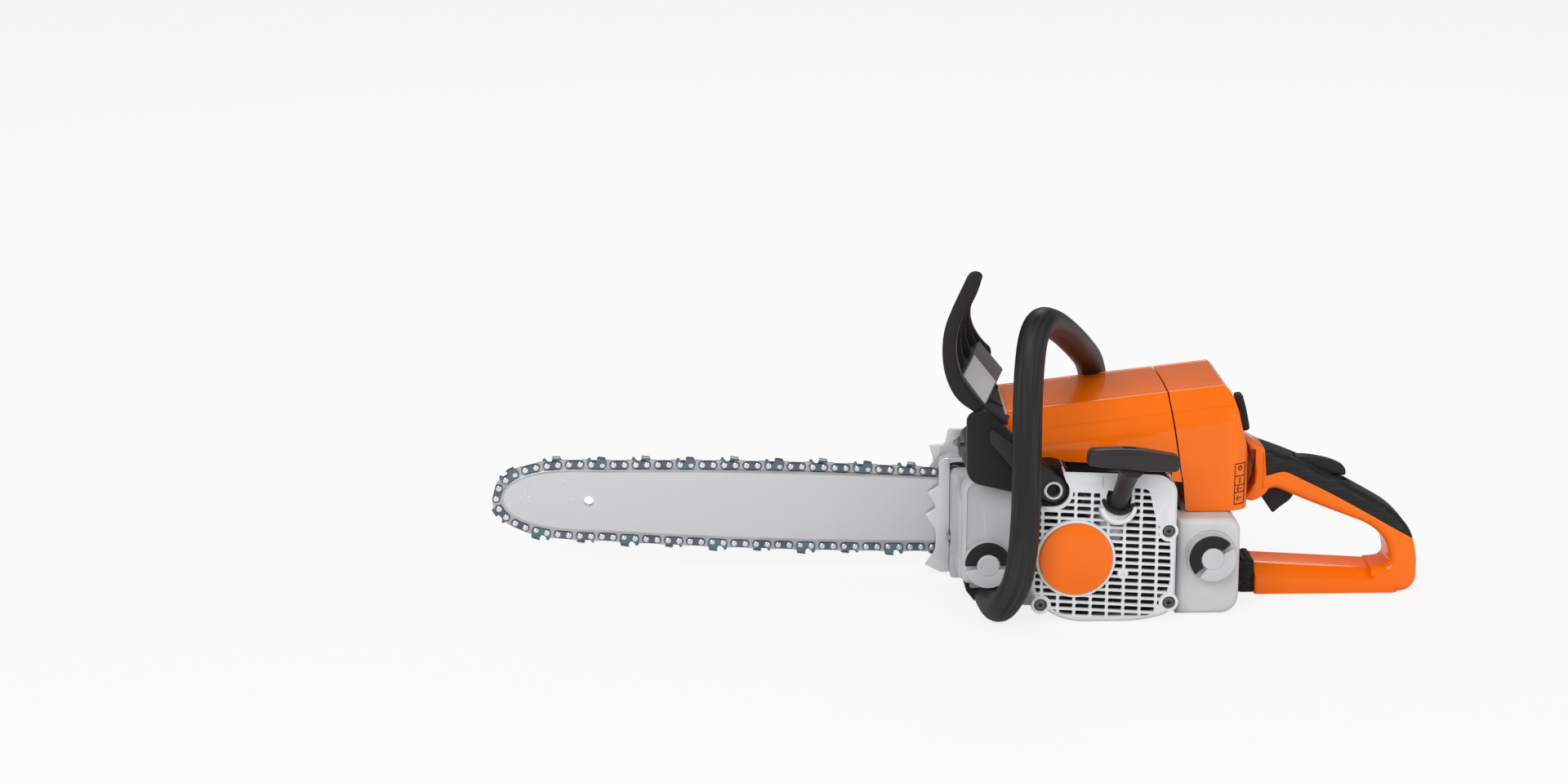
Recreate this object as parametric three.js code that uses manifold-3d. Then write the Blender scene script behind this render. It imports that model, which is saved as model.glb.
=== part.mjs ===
// Petrol chainsaw, in millimetres. +X runs to the rear handle, the guide bar points along -X,
// -Y is the starter side and +Z is up. The origin lies on the ground under the crankshaft.
import * as THREE from "three";
import { mergeVertices } from "three/addons/utils/BufferGeometryUtils.js";
import Module from "manifold-3d";

const wasm = await Module();
wasm.setup();

// ---------------------------------------------------------------- driving dimensions

const GAP = 0.3; // clearance between pieces that touch
const WALL = 2.5; // wall of the moulded covers

// Crankshaft line and engine
const CRANK_Z = 47;
const BORE = 42.5;
const STROKE = 32;
const ROD_LENGTH = 46; // crank pin to wrist pin
const CROWN_HEIGHT = 13; // wrist pin to piston crown
const PISTON_LENGTH = 24;
const PISTON_CLEARANCE = 0.25;
const WEB_RADIUS = 24;
const WEB_INNER = 5; // half the gap between the crank webs
const WEB_OUTER = 14;
const JOURNAL_RADIUS = 7.5;
const CRANK_PIN_RADIUS = 6;
const TAPER_RADIUS = 6; // shaft end under the flywheel
const DRUM_SEAT_RADIUS = 5.2; // shaft end under the clutch drum
const BEARING_RADIUS = 17.2;
const BEARING_WIDTH = 10.4;
const FIN_COUNT = 6;
const FIN_REACH = 16.5; // fin tip beyond the bore wall
const HEAD_THICKNESS = 10;
const PLUG_TILT = 30; // degrees above level, towards the rear

// Crankcase and tanks
const CASE_FRONT = -78;
const CASE_REAR = 71;
const CASE_LEFT = -45.7;
const CASE_RIGHT = 42;
const CASE_TOP = 96;
const SOLE_FRONT = -36;
const OIL_FLOOR = 20.5;
const OIL_TOP = 98.8;
const OIL_LEFT = -60;
const OIL_REAR = -41;
const TANK_FRONT = 74;
const TANK_REAR = 118.7;
const TANK_TOP = 69.9;
const TANK_LEFT = -72;
const TANK_WALL = 4;

// Flywheel, starter and its cover
const FLYWHEEL_RADIUS = 40;
const FLYWHEEL_LEFT = -45.4;
const FLYWHEEL_RIGHT = -28;
const BLADE_COUNT = 10;
const STARTER_FACE = -88;
const STARTER_LEFT = -34;
const STARTER_RIGHT = 71;
const STARTER_TOP = 107;
const SLOT_PITCH_X = 23;
const SLOT_PITCH_Z = 5.05;
const SLOT_HEIGHT = 3.2;
const SLOT_RIB = 2.2;
const SLOT_ROWS = 18;
const SLOT_TILT = 3.4;
const BADGE_RADIUS = 25.7;
const PULLEY_RADIUS = 26;
const PULLEY_HUB = 16;
const POST_RADIUS = 6;
const SCREW_HEAD = 4.2;

// Clutch
const DRUM_RADIUS = 34;
const DRUM_WALL = 1.6;
const DRUM_LEFT = 27.5;
const DRUM_WEB = 40;
const SPROCKET_TEETH = 7;
const SPROCKET_TIP = 15;
const SPROCKET_ROOT = 9.5;
const SHOE_COUNT = 3;

// Guide bar and chain; d is the distance from the crankshaft along the bar, h the height on it
const BAR_TILT = 2.1;
const BAR_AXIS_Z = 43.4;
const BAR_Y = 46;
const BAR_THICKNESS = 4.7;
const BAR_GROOVE = 1.9;
const GROOVE_DEPTH = 6;
const BAR_TAIL = 27;
const BAR_LENGTH = 407.5;
const BAR_HALF_HEIGHT = 26.6;
const BAR_NOSE = 76; // length of the rounded nose
const NOSE_SPROCKET = 13.5;
const NOSE_TEETH = 10;
const CHAIN_HEIGHT = 7.4;
const CUTTER_HEIGHT = 5.6;
const CUTTER_PITCH = 33;
const CHAIN_RUN = 16.3; // underside of the chain on the drive sprocket
const STUD_RADIUS = 4;
const STUD_FRONT = 70;
const STUD_REAR = 46;
const TENSION_TRAVEL = 5;
const PIN_D = 52;
const PIN_H = -17;
const PIN_RADIUS = 2.5;
const TENSIONER_Y = 33;

// Sprocket cover
const COVER_FACE = 84;
const COVER_FRONT = -84;
const COVER_REAR = 50;
const COVER_TOP = 92;
const COVER_STEP = 83;
const CHAIN_PASSAGE = -49; // the cover is open to the chain ahead of this

// Top covers: a low arch split by a slanting seam
const HOOD_HALF_WIDTH = 52;
const HOOD_SLOPE = 0.115; // how fast the covers climb to the rear
const HOOD_CROWN = 157.5; // height of the crown where the slope passes the crankshaft
const HOOD_CHAMFER = 9;
const SEAM_TOP = [67, 170];
const SEAM_BOTTOM = [80, 92];

// Handles and hand guard
const HANDLE_RADIUS = 10.5;
const HANDLE_Y = -112;
const TRIGGER_PIN = [147, 83];
const LEVER_PIN = [125.5, 87];
const PIVOT_PIN_RADIUS = 1.6;
const LUG_TOP = 97; // the housing's lug under the front handle's right foot
const GRIP_LEFT = -24;
const GRIP_RIGHT = 14;
const GUARD_PIVOT = [-16, 95.5];
const GUARD_LEFT = -75;
const GUARD_RIGHT = 54;
const GUARD_SWEEP = 0.22; // how far the guard falls back per millimetre to the right
const GUARD_ARM_LEFT = -84;
const GUARD_ARM_RIGHT = -74;

// Filler caps
const CAP_RADIUS = 16.5;
const CAP_NECK = 12.6;
const CAP_DISC = 8;
const CAP_PLUG_DEPTH = 5;
const FLAP_THICKNESS = 4;
const OIL_CAP = [-59.5, 37.3];
const FUEL_CAP = [97.5, 44];
const FUEL_CAP_TURN = 42;

// ---------------------------------------------------------------- worked-out places

const rad = THREE.MathUtils.degToRad;
const CROWN_TOP = CRANK_Z + STROKE / 2 + ROD_LENGTH + CROWN_HEIGHT;
const FIN_RADIUS = BORE / 2 + FIN_REACH;
const SPIGOT_RADIUS = BORE / 2 + WALL;
const BEARING_IN = WEB_OUTER + 1;
const FLYWHEEL_RECESS = FLYWHEEL_RADIUS + 3;
const CLUTCH_RECESS = DRUM_RADIUS + 6;
const BAR_RIGHT = BAR_Y + BAR_THICKNESS / 2;
const BAR_LEFT = BAR_Y - BAR_THICKNESS / 2;
const NOSE_CENTRE = BAR_LENGTH - NOSE_SPROCKET - 4.5;
const PORT_Z = CROWN_TOP - 13;

// ---------------------------------------------------------------- shape helpers

// A closed geometry as a solid that can be cut and joined.
function solid(geometry) {
  const bare = geometry.clone();
  bare.deleteAttribute("normal");
  bare.deleteAttribute("uv");
  const merged = mergeVertices(bare, 1e-4);
  const kept = [];
  for (let i = 0; i < merged.index.count; i += 3) {
    const [a, b, c] = [0, 1, 2].map((k) => merged.index.getX(i + k));
    if (a !== b && b !== c && c !== a) {
      kept.push(a, b, c);
    }
  }
  const vertProperties = new Float32Array(merged.attributes.position.array);
  const triVerts = new Uint32Array(kept);
  return new wasm.Manifold(new wasm.Mesh({ numProp: 3, vertProperties, triVerts }));
}

// A finished solid as a named mesh with its own finish.
function mesh(name, body, { color, roughness = 0.5, metalness = 0 }) {
  const { vertProperties, triVerts } = body.getMesh();
  const geometry = new THREE.BufferGeometry();
  geometry.setAttribute("position", new THREE.BufferAttribute(vertProperties, 3));
  geometry.setIndex(new THREE.BufferAttribute(triVerts, 1));
  geometry.computeVertexNormals();
  const made = new THREE.Mesh(
    geometry,
    new THREE.MeshStandardMaterial({ color, roughness, metalness }),
  );
  made.name = name;
  return made;
}

// An outline from corners [x, y, radius], with each corner rounded by its own radius, or by
// less where the sides beside it are short.
function outline(corners) {
  const shape = new THREE.Shape();
  const count = corners.length;
  corners.forEach(([x, y, wanted = 0], i) => {
    const corner = new THREE.Vector2(x, y);
    const before = new THREE.Vector2(...corners[(i + count - 1) % count]).sub(corner);
    const after = new THREE.Vector2(...corners[(i + 1) % count]).sub(corner);
    const radius = Math.min(wanted, 0.48 * before.length(), 0.48 * after.length());
    const start = corner.clone().add(before.setLength(radius));
    const end = corner.clone().add(after.setLength(radius));
    if (i === 0) {
      shape.moveTo(start.x, start.y);
    } else {
      shape.lineTo(start.x, start.y);
    }
    if (radius > 0) {
      shape.quadraticCurveTo(x, y, end.x, end.y);
    }
  });
  return shape;
}

// A ring sector about the origin, between two radii and two angles in degrees.
function sector(inner, outer, from, to) {
  const shape = new THREE.Shape();
  shape.absarc(0, 0, outer, rad(from), rad(to), false);
  shape.absarc(0, 0, inner, rad(to), rad(from), true);
  return shape;
}

// An outline in X and Z, extruded along Y from one side to the other. round and lean give the
// rounding of its edges: how far it goes along Y and how far the outline shrinks.
function slabY(shape, left, right, { round = 0, lean = round, steps = 3, curve = 4 } = {}) {
  const geometry = new THREE.ExtrudeGeometry(shape, {
    depth: right - left - 2 * round,
    curveSegments: curve,
    bevelEnabled: round > 0,
    bevelThickness: round,
    bevelSize: lean,
    bevelOffset: -lean,
    bevelSegments: steps,
  });
  geometry.rotateX(Math.PI / 2);
  geometry.translate(0, right - round, 0);
  return geometry;
}

const slab = (...settings) => solid(slabY(...settings));

// An outline in Y and Z, extruded along X from one end to the other, climbing by a slope.
function prismX(shape, front, rear, slope) {
  const geometry = new THREE.ExtrudeGeometry(shape, {
    depth: rear - front,
    curveSegments: 3,
    bevelEnabled: false,
  });
  const [alongX, alongY, alongZ] = [[1, 0, 0], [0, 1, 0], [0, 0, 1]].map(
    (axis) => new THREE.Vector3(...axis),
  );
  geometry.translate(0, 0, front);
  geometry.applyMatrix4(new THREE.Matrix4().makeBasis(alongY, alongZ, alongX));
  geometry.applyMatrix4(new THREE.Matrix4().makeShear(0, slope, 0, 0, 0, 0));
  return solid(geometry);
}

// A box between two values on each axis.
function block([x0, x1], [y0, y1], [z0, z1]) {
  const geometry = new THREE.BoxGeometry(x1 - x0, y1 - y0, z1 - z0);
  return solid(geometry.translate((x0 + x1) / 2, (y0 + y1) / 2, (z0 + z1) / 2));
}

// A round bar between two points.
function rod(from, to, radius, sides = 24, endRadius = radius) {
  const start = new THREE.Vector3(...from);
  const along = new THREE.Vector3(...to).sub(start);
  const geometry = new THREE.CylinderGeometry(endRadius, radius, along.length(), sides);
  const up = new THREE.Vector3(0, 1, 0);
  const turn = new THREE.Quaternion().setFromUnitVectors(up, along.clone().normalize());
  geometry.applyQuaternion(turn);
  geometry.translate(...start.add(along.multiplyScalar(0.5)).toArray());
  return solid(geometry);
}

const rodY = (x, z, radius, y0, y1, sides = 24) => rod([x, y0, z], [x, y1, z], radius, sides);

// A profile of [radius, height] pairs turned about the Y axis through x, z. It runs up the
// outside and back down the inside.
function turnedY(profile, x = 0, z = 0, sides = 24) {
  const points = profile.map(([r, y]) => new THREE.Vector2(r, y));
  points.push(points[0].clone());
  return solid(new THREE.LatheGeometry(points, sides).translate(x, 0, z));
}

// The same about the vertical axis through the origin.
function turnedZ(profile, sides = 24) {
  const points = profile.map(([r, z]) => new THREE.Vector2(r, z));
  points.push(points[0].clone());
  return solid(new THREE.LatheGeometry(points, sides).rotateX(Math.PI / 2));
}

// A round tube along a smooth curve through the points.
function tube(points, radius, steps, sides) {
  const path = new THREE.CatmullRomCurve3(points.map((p) => new THREE.Vector3(...p)));
  const circle = new THREE.Shape();
  circle.absarc(0, 0, radius, 0, 2 * Math.PI, false);
  const settings = { steps, extrudePath: path, curveSegments: sides, bevelEnabled: false };
  return solid(new THREE.ExtrudeGeometry(circle, settings));
}

const union = (bodies) => bodies.reduce((whole, body) => whole.add(body));

// ---------------------------------------------------------------- finishes

const ORANGE = { color: 0xf26a00, roughness: 0.25 };
const LIGHT_GREY = { color: 0xd6d7d8, roughness: 0.4 };
const BLACK_PLASTIC = { color: 0x1c1a1b, roughness: 0.5 };
const BLACK_RUBBER = { color: 0x201e1f, roughness: 0.8 };
const STEEL = { color: 0xb8bbbf, roughness: 0.35, metalness: 0.9 };
const DARK_STEEL = { color: 0x5d6470, roughness: 0.4, metalness: 0.9 };
const ALLOY = { color: 0xa9acb0, roughness: 0.5, metalness: 0.8 };

// ---------------------------------------------------------------- the guide bar's own frame

// Moves geometry from the bar's frame, where the bar lies level along -X, to the saw's frame.
function onBar(geometry) {
  return geometry.rotateY(rad(BAR_TILT)).translate(0, 0, BAR_AXIS_Z);
}

// The same for one point: distance d along the bar, height h on it.
function barPoint(d, h = 0) {
  const x = -d * Math.cos(rad(BAR_TILT)) + h * Math.sin(rad(BAR_TILT));
  const z = d * Math.sin(rad(BAR_TILT)) + h * Math.cos(rad(BAR_TILT)) + BAR_AXIS_Z;
  return [x, z];
}

function barBlock([d0, d1], [y0, y1], [h0, h1]) {
  const geometry = new THREE.BoxGeometry(d1 - d0, y1 - y0, h1 - h0);
  return solid(onBar(geometry.translate(-(d0 + d1) / 2, (y0 + y1) / 2, (h0 + h1) / 2)));
}

function barRod(d, h, radius, y0, y1, sides = 16) {
  const [x, z] = barPoint(d, h);
  return rodY(x, z, radius, y0, y1, sides);
}

// Half the bar's height at a distance d: slightly bellied sides and a rounded nose.
function barHalfHeight(d) {
  const noseStart = BAR_LENGTH - BAR_NOSE;
  const belly = 1.35e-4 * (Math.min(d, noseStart) - 190) ** 2;
  const into = Math.max(0, (d - noseStart) / BAR_NOSE);
  return (BAR_HALF_HEIGHT - belly) * Math.sqrt(Math.max(0, 1 - into ** 1.65));
}

// The bar's upper rail from the tail to just before the tip, as [x, h] pairs.
function upperRail(from, sideSteps = 6, noseSteps = 9) {
  const noseStart = BAR_LENGTH - BAR_NOSE;
  const points = [];
  for (let i = 0; i <= sideSteps; i++) {
    const d = from + ((noseStart - from) * i) / sideSteps;
    points.push([-d, barHalfHeight(d)]);
  }
  for (let i = 1; i < noseSteps; i++) {
    const d = noseStart + BAR_NOSE * Math.sin((i / noseSteps) * (Math.PI / 2));
    points.push([-d, barHalfHeight(d)]);
  }
  return points;
}

// The whole bar outline, counter-clockwise from the top of the tail.
function barLoop() {
  const upper = upperRail(BAR_TAIL + 12);
  const lower = upper.map(([x, h]) => [x, -h]).reverse();
  const tail = barHalfHeight(BAR_TAIL) - 8;
  return [[-BAR_TAIL, tail], ...upper, [-BAR_LENGTH, 0], ...lower, [-BAR_TAIL, -tail]];
}

// The chain's path: along both rails and round the drive sprocket.
function chainLoop() {
  const upper = upperRail(BAR_TAIL + 12);
  const lower = upper.map(([x, h]) => [x, -h]).reverse();
  const rise = CRANK_Z - BAR_AXIS_Z;
  const arc = [];
  for (let angle = -105; angle <= 105; angle += 21) {
    arc.push([CHAIN_RUN * Math.cos(rad(angle)), rise + CHAIN_RUN * Math.sin(rad(angle))]);
  }
  return [...upper, [-BAR_LENGTH, 0], ...lower, ...arc];
}

// A closed loop of points moved outwards by a distance.
function grown(loop, distance) {
  const count = loop.length;
  return loop.map(([x, y], i) => {
    const [ax, ay] = loop[(i + count - 1) % count];
    const [bx, by] = loop[(i + 1) % count];
    const normal = new THREE.Vector2(by - ay, ax - bx).normalize();
    return [x + normal.x * distance, y + normal.y * distance];
  });
}

const barSlab = (loop, y0, y1) => solid(onBar(slabY(outline(loop), y0, y1)));

// ---------------------------------------------------------------- engine

function engineHousing() {
  const tankMid = TANK_FRONT + 6;
  const core = slab(
    outline([
      [CASE_FRONT, OIL_FLOOR], [CASE_FRONT, CASE_TOP], [CASE_REAR, CASE_TOP],
      [CASE_REAR, TANK_TOP], [tankMid, TANK_TOP], [tankMid, 0], [SOLE_FRONT, 0],
      [SOLE_FRONT, OIL_FLOOR],
    ]),
    CASE_LEFT,
    CASE_RIGHT,
  );
  const oilTank = slab(
    outline([
      [CASE_FRONT + 1, OIL_FLOOR, 4], [CASE_FRONT + 1, OIL_TOP, 10], [OIL_REAR, OIL_TOP, 3],
      [OIL_REAR, OIL_FLOOR, 3],
    ]),
    OIL_LEFT,
    CASE_LEFT + 8,
  );
  const fuelTank = slab(
    outline([
      [TANK_FRONT, 0, 3], [TANK_FRONT, TANK_TOP, 4], [TANK_REAR, TANK_TOP, 6],
      [TANK_REAR, 0, 11],
    ]),
    TANK_LEFT,
    CASE_RIGHT,
  );
  const frontFoot = block([CASE_FRONT, -50], [24, CASE_RIGHT], [0, OIL_FLOOR + 1]);
  const barPad = barBlock([28, 79], [CASE_RIGHT - 1, BAR_LEFT - GAP], [-21, 21]);
  const handleLug = block([14, 46], [CASE_RIGHT - 6, 75], [COVER_TOP + GAP, LUG_TOP]);
  return union([core, oilTank, fuelTank, frontFoot, barPad, handleLug])
    .subtract(housingCavities());
}

// Everything cut from the housing: tanks, crank chamber, recesses, bores and slots.
function housingCavities() {
  const oilRear = -FLYWHEEL_RECESS - TANK_WALL;
  const oil = block(
    [CASE_FRONT + 1 + TANK_WALL, oilRear],
    [OIL_LEFT + TANK_WALL, 10],
    [OIL_FLOOR + TANK_WALL, OIL_TOP - 6],
  );
  const fuel = block(
    [TANK_FRONT + 10, TANK_REAR - TANK_WALL],
    [TANK_LEFT + TANK_WALL, CASE_RIGHT - TANK_WALL],
    [TANK_WALL, TANK_TOP - TANK_WALL],
  );
  const neck = CAP_NECK + 0.4;
  const [oilX, oilZ] = OIL_CAP;
  const [fuelX, fuelZ] = FUEL_CAP;
  const bearingOut = BEARING_IN + BEARING_WIDTH + GAP;
  const studs = [STUD_FRONT, STUD_REAR].map((d) => (
    barRod(d, 0, STUD_RADIUS + GAP, 29, BAR_LEFT + 1)
  ));
  return union([
    oil,
    fuel,
    rodY(oilX, oilZ, neck, OIL_LEFT - 1, OIL_LEFT + TANK_WALL + 1),
    rodY(fuelX, fuelZ, neck, TANK_LEFT - 1, TANK_LEFT + TANK_WALL + 1),
    rodY(0, CRANK_Z, WEB_RADIUS + 3, -BEARING_IN, BEARING_IN),
    rodY(0, CRANK_Z, BEARING_RADIUS + GAP, -bearingOut, bearingOut),
    rodY(0, CRANK_Z, JOURNAL_RADIUS + 1.5, FLYWHEEL_RIGHT - 2, DRUM_LEFT),
    rodY(0, CRANK_Z, FLYWHEEL_RECESS, CASE_LEFT - 1, FLYWHEEL_RIGHT + 1, 32),
    rodY(0, CRANK_Z, CLUTCH_RECESS, DRUM_LEFT - 1, CASE_RIGHT + 3, 32),
    rod([0, 0, CRANK_Z], [0, 0, CASE_TOP + 1], SPIGOT_RADIUS + GAP),
    pumpPocket(0),
    ...studs,
    barBlock([36, 76], [TENSIONER_Y - 5, BAR_LEFT + 1], [PIN_H - 5, PIN_H + 5]),
    barRodAlong([34, 84], PIN_RADIUS + GAP),
  ]);
}

// A round bar along the guide bar at the tensioner's height.
function barRodAlong([d0, d1], radius) {
  const [x0, z0] = barPoint(d0, PIN_H);
  const [x1, z1] = barPoint(d1, PIN_H);
  return rod([x0, TENSIONER_Y, z0], [x1, TENSIONER_Y, z1], radius, 12);
}

// The oil pump's pocket behind the clutch, or the pump itself when inset.
function pumpPocket(inset) {
  return block([-22 + inset, 2 - inset], [17 + inset, DRUM_LEFT - 1], [8 + inset, 20 - inset]);
}

function cylinder() {
  const inner = BORE / 2;
  const barrel = inner + 6;
  const low = CASE_TOP - 14;
  const headTop = CROWN_TOP + HEAD_THICKNESS;
  const flange = CASE_TOP + GAP;
  const profile = [
    [SPIGOT_RADIUS, low], [SPIGOT_RADIUS, flange], [inner + 13, flange], [inner + 13, flange + 4],
  ];
  const pitch = (headTop - flange - 6) / FIN_COUNT;
  for (let i = 0; i < FIN_COUNT; i++) {
    const z = flange + 7 + i * pitch;
    profile.push([barrel, z], [FIN_RADIUS, z], [FIN_RADIUS, z + 1.6], [barrel, z + 1.6]);
  }
  profile.push([8, headTop + 1], [8, CROWN_TOP + 0.4], [inner, CROWN_TOP + 0.4], [inner, low]);
  const ports = [-1, 1].map((side) => (
    block([side * 30 - 12, side * 30 + 12], [-9, 9], [PORT_Z - 5, PORT_Z + 5])
  ));
  const crown = rod([0, 0, CROWN_TOP + 0.4], [0, 0, headTop], 9);
  return turnedZ(profile).add(crown)
    .subtract(union(ports))
    .subtract(plugRod(-4, 24, 7 + GAP))
    .subtract(plugRod(18, 60, 13));
}

// A round bar on the spark plug's slanting axis, between two distances along it.
function plugRod(from, to, radius, sides = 16) {
  const place = (s) => [
    4 + s * Math.cos(rad(PLUG_TILT)), 0, CROWN_TOP + 1 + s * Math.sin(rad(PLUG_TILT)),
  ];
  return rod(place(from), place(to), radius, sides);
}

function sparkPlug() {
  return union([
    plugRod(14, 18.6, 7), plugRod(18.5, 26, 9.5, 6), plugRod(25.9, 44, 5), plugRod(43.9, 48, 2.5),
  ]);
}

function sparkPlugBoot() {
  return plugRod(26.4, 52, 8).subtract(plugRod(20, 48.4, 5 + GAP));
}

function piston() {
  const radius = BORE / 2 - PISTON_CLEARANCE;
  const skirt = CROWN_TOP - PISTON_LENGTH;
  const shell = rod([0, 0, skirt], [0, 0, CROWN_TOP], radius)
    .subtract(rod([0, 0, skirt - 1], [0, 0, CROWN_TOP - 5], radius - 3));
  const webSweep = rodY(0, CRANK_Z + STROKE, WEB_RADIUS + 0.7, -BORE, BORE, 32);
  return shell.subtract(webSweep);
}

function crankshaft() {
  const webs = [-1, 1].map((side) => (
    rodY(0, CRANK_Z, WEB_RADIUS, side * WEB_INNER, side * WEB_OUTER)
  ));
  return union([
    ...webs,
    rodY(0, CRANK_Z + STROKE / 2, CRANK_PIN_RADIUS, -WEB_INNER - 1, WEB_INNER + 1, 16),
    rodY(0, CRANK_Z, JOURNAL_RADIUS, FLYWHEEL_RIGHT, -WEB_OUTER + 1),
    rodY(0, CRANK_Z, JOURNAL_RADIUS, WEB_OUTER - 1, DRUM_LEFT),
    rodY(0, CRANK_Z, TAPER_RADIUS, FLYWHEEL_LEFT - 11, FLYWHEEL_RIGHT + 1, 16),
    rodY(0, CRANK_Z, DRUM_SEAT_RADIUS, DRUM_LEFT - 1, 54, 16),
  ]);
}

function crankBearing(side) {
  const [y0, y1] = side < 0
    ? [-BEARING_IN - BEARING_WIDTH, -BEARING_IN]
    : [BEARING_IN, BEARING_IN + BEARING_WIDTH];
  const inner = JOURNAL_RADIUS + GAP;
  const profile = [[BEARING_RADIUS, y0], [BEARING_RADIUS, y1], [inner, y1], [inner, y0]];
  return turnedY(profile, 0, CRANK_Z, 20);
}

function flywheel() {
  const bore = TAPER_RADIUS + GAP;
  const web = FLYWHEEL_RIGHT - 6;
  const disc = turnedY(
    [
      [FLYWHEEL_RADIUS, web], [FLYWHEEL_RADIUS, FLYWHEEL_RIGHT - GAP],
      [bore, FLYWHEEL_RIGHT - GAP], [bore, FLYWHEEL_LEFT - 4], [14, FLYWHEEL_LEFT - 4],
      [14, web],
    ],
    0,
    CRANK_Z,
    32,
  );
  const blades = [];
  for (let i = 0; i < BLADE_COUNT; i++) {
    const geometry = new THREE.BoxGeometry(FLYWHEEL_RADIUS - 17, web - FLYWHEEL_LEFT + 1, 2.5);
    geometry.translate(FLYWHEEL_RADIUS / 2 + 7.5, (web + FLYWHEEL_LEFT + 1) / 2, 0);
    geometry.rotateY((i / BLADE_COUNT) * 2 * Math.PI).translate(0, 0, CRANK_Z);
    blades.push(solid(geometry));
  }
  return disc.add(union(blades));
}

function clutchHub() {
  const arms = [];
  for (let i = 0; i < SHOE_COUNT; i++) {
    const geometry = new THREE.BoxGeometry(11.6, 8, 7).translate(12.2, DRUM_LEFT + 5.5, 0);
    geometry.rotateY((i / SHOE_COUNT) * 2 * Math.PI).translate(0, 0, CRANK_Z);
    arms.push(solid(geometry));
  }
  const [low, high] = [DRUM_LEFT + 1, DRUM_LEFT + 9.8];
  const bore = DRUM_SEAT_RADIUS + GAP;
  return turnedY([[12, low], [12, high], [bore, high], [bore, low]], 0, CRANK_Z).add(union(arms));
}

function clutchShoe(index) {
  const start = (index * 360) / SHOE_COUNT - 54;
  const shoe = slabY(
    sector(18.4 + GAP, DRUM_RADIUS - DRUM_WALL - 0.7, start, start + 108),
    DRUM_LEFT + 1.5,
    DRUM_LEFT + 9.5,
  );
  return solid(shoe.translate(0, 0, CRANK_Z));
}

function clutchDrum() {
  const inner = DRUM_RADIUS - DRUM_WALL;
  const bore = DRUM_SEAT_RADIUS + GAP;
  const webInner = DRUM_WEB - DRUM_WALL;
  const cup = turnedY(
    [
      [DRUM_RADIUS, DRUM_LEFT + 0.5], [DRUM_RADIUS, DRUM_WEB], [SPROCKET_ROOT, DRUM_WEB],
      [SPROCKET_ROOT, BAR_Y + 5], [bore, BAR_Y + 5], [bore, webInner], [inner, webInner],
      [inner, DRUM_LEFT + 0.5],
    ],
    0,
    CRANK_Z,
    24,
  );
  const tooth = outline([[0, -3.4], [SPROCKET_TIP - 2, -2.6, 1], [SPROCKET_TIP, 0, 1],
    [SPROCKET_TIP - 2, 2.6, 1], [0, 3.4]]);
  const teeth = [];
  for (let i = 0; i < SPROCKET_TEETH; i++) {
    const geometry = slabY(tooth, DRUM_WEB - 0.5, BAR_Y + 4.5, { curve: 1 });
    geometry.rotateY((i / SPROCKET_TEETH) * 2 * Math.PI).translate(0, 0, CRANK_Z);
    teeth.push(solid(geometry));
  }
  const seat = rodY(0, CRANK_Z, bore, webInner - 1, BAR_Y + 6, 24);
  return cup.add(union(teeth)).subtract(seat);
}

function brakeBand() {
  const inner = DRUM_RADIUS + 0.6;
  const arc = sector(inner, inner + 1, 250, 570);
  const ring = slabY(arc, DRUM_LEFT + 1, DRUM_LEFT + 10, { curve: 14 });
  const anchor = new THREE.BoxGeometry(CLUTCH_RECESS - inner - GAP, 8, 4);
  anchor.translate(inner + (CLUTCH_RECESS - inner - GAP) / 2, DRUM_LEFT + 5.5, 0).rotateY(rad(-255));
  const body = solid(ring.translate(0, 0, CRANK_Z));
  return body.add(solid(anchor.translate(0, 0, CRANK_Z)));
}

function muffler() {
  const rear = -FIN_RADIUS - 0.5;
  const can = slab(
    outline([
      [CASE_FRONT + 3, CASE_TOP + 0.4, 4], [CASE_FRONT + 3, 125, 4], [rear, 125, 4],
      [rear, CASE_TOP + 0.4, 4],
    ]),
    -33,
    33,
  );
  const hollow = block([CASE_FRONT + 5, rear - 2], [-31, 31], [CASE_TOP + 2.5, 123]);
  const outlet = rod([CASE_FRONT + 16, 20, 112], [CASE_FRONT + 16, 40, 112], 5, 12);
  return can.subtract(hollow).subtract(outlet);
}

function ignitionModule() {
  return block([-14, 26], [CASE_LEFT + 1, -FIN_RADIUS - 2 * GAP], [CASE_TOP + GAP, CASE_TOP + 18]);
}

function ignitionLead() {
  const [x, z] = [4 + 47 * Math.cos(rad(PLUG_TILT)), CROWN_TOP + 1 + 47 * Math.sin(rad(PLUG_TILT))];
  return tube(
    [
      [16, CASE_LEFT + 4, CASE_TOP + 18.4], [17, CASE_LEFT + 4, CASE_TOP + 30],
      [26, CASE_LEFT + 11, CASE_TOP + 42], [x - 4, -20, z - 2], [x, -8.9, z],
    ],
    2.5,
    12,
    4,
  );
}

function intakeBoot() {
  const from = [FIN_RADIUS + 0.5, 0, PORT_Z];
  const to = [81.7, 0, PORT_Z];
  return rod(from, to, 13, 16).subtract(rod([0, 0, PORT_Z], [90, 0, PORT_Z], 9.5, 16));
}

function carburetor() {
  const throat = rod([70, 0, PORT_Z], [120, 0, PORT_Z], 9, 16);
  const bowl = rod([93, -24, PORT_Z - 4], [93, -17, PORT_Z - 4], 9, 16);
  return block([82, 104], [-18, 18], [87.8, 118]).add(bowl).subtract(throat);
}

const airFilter = () => block([82, 110], [-36, 30], [118.3, 143]);

// ---------------------------------------------------------------- starter side

const starterOutline = (inset) => outline([
  [STARTER_LEFT + inset, STARTER_TOP - inset, 8], [STARTER_RIGHT - inset, 102 - inset, 7],
  [STARTER_RIGHT - inset, 6 + inset, 10], [45, inset, 12], [-12, inset, 22],
  [STARTER_LEFT + inset, 22 + inset, 14],
]);

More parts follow.
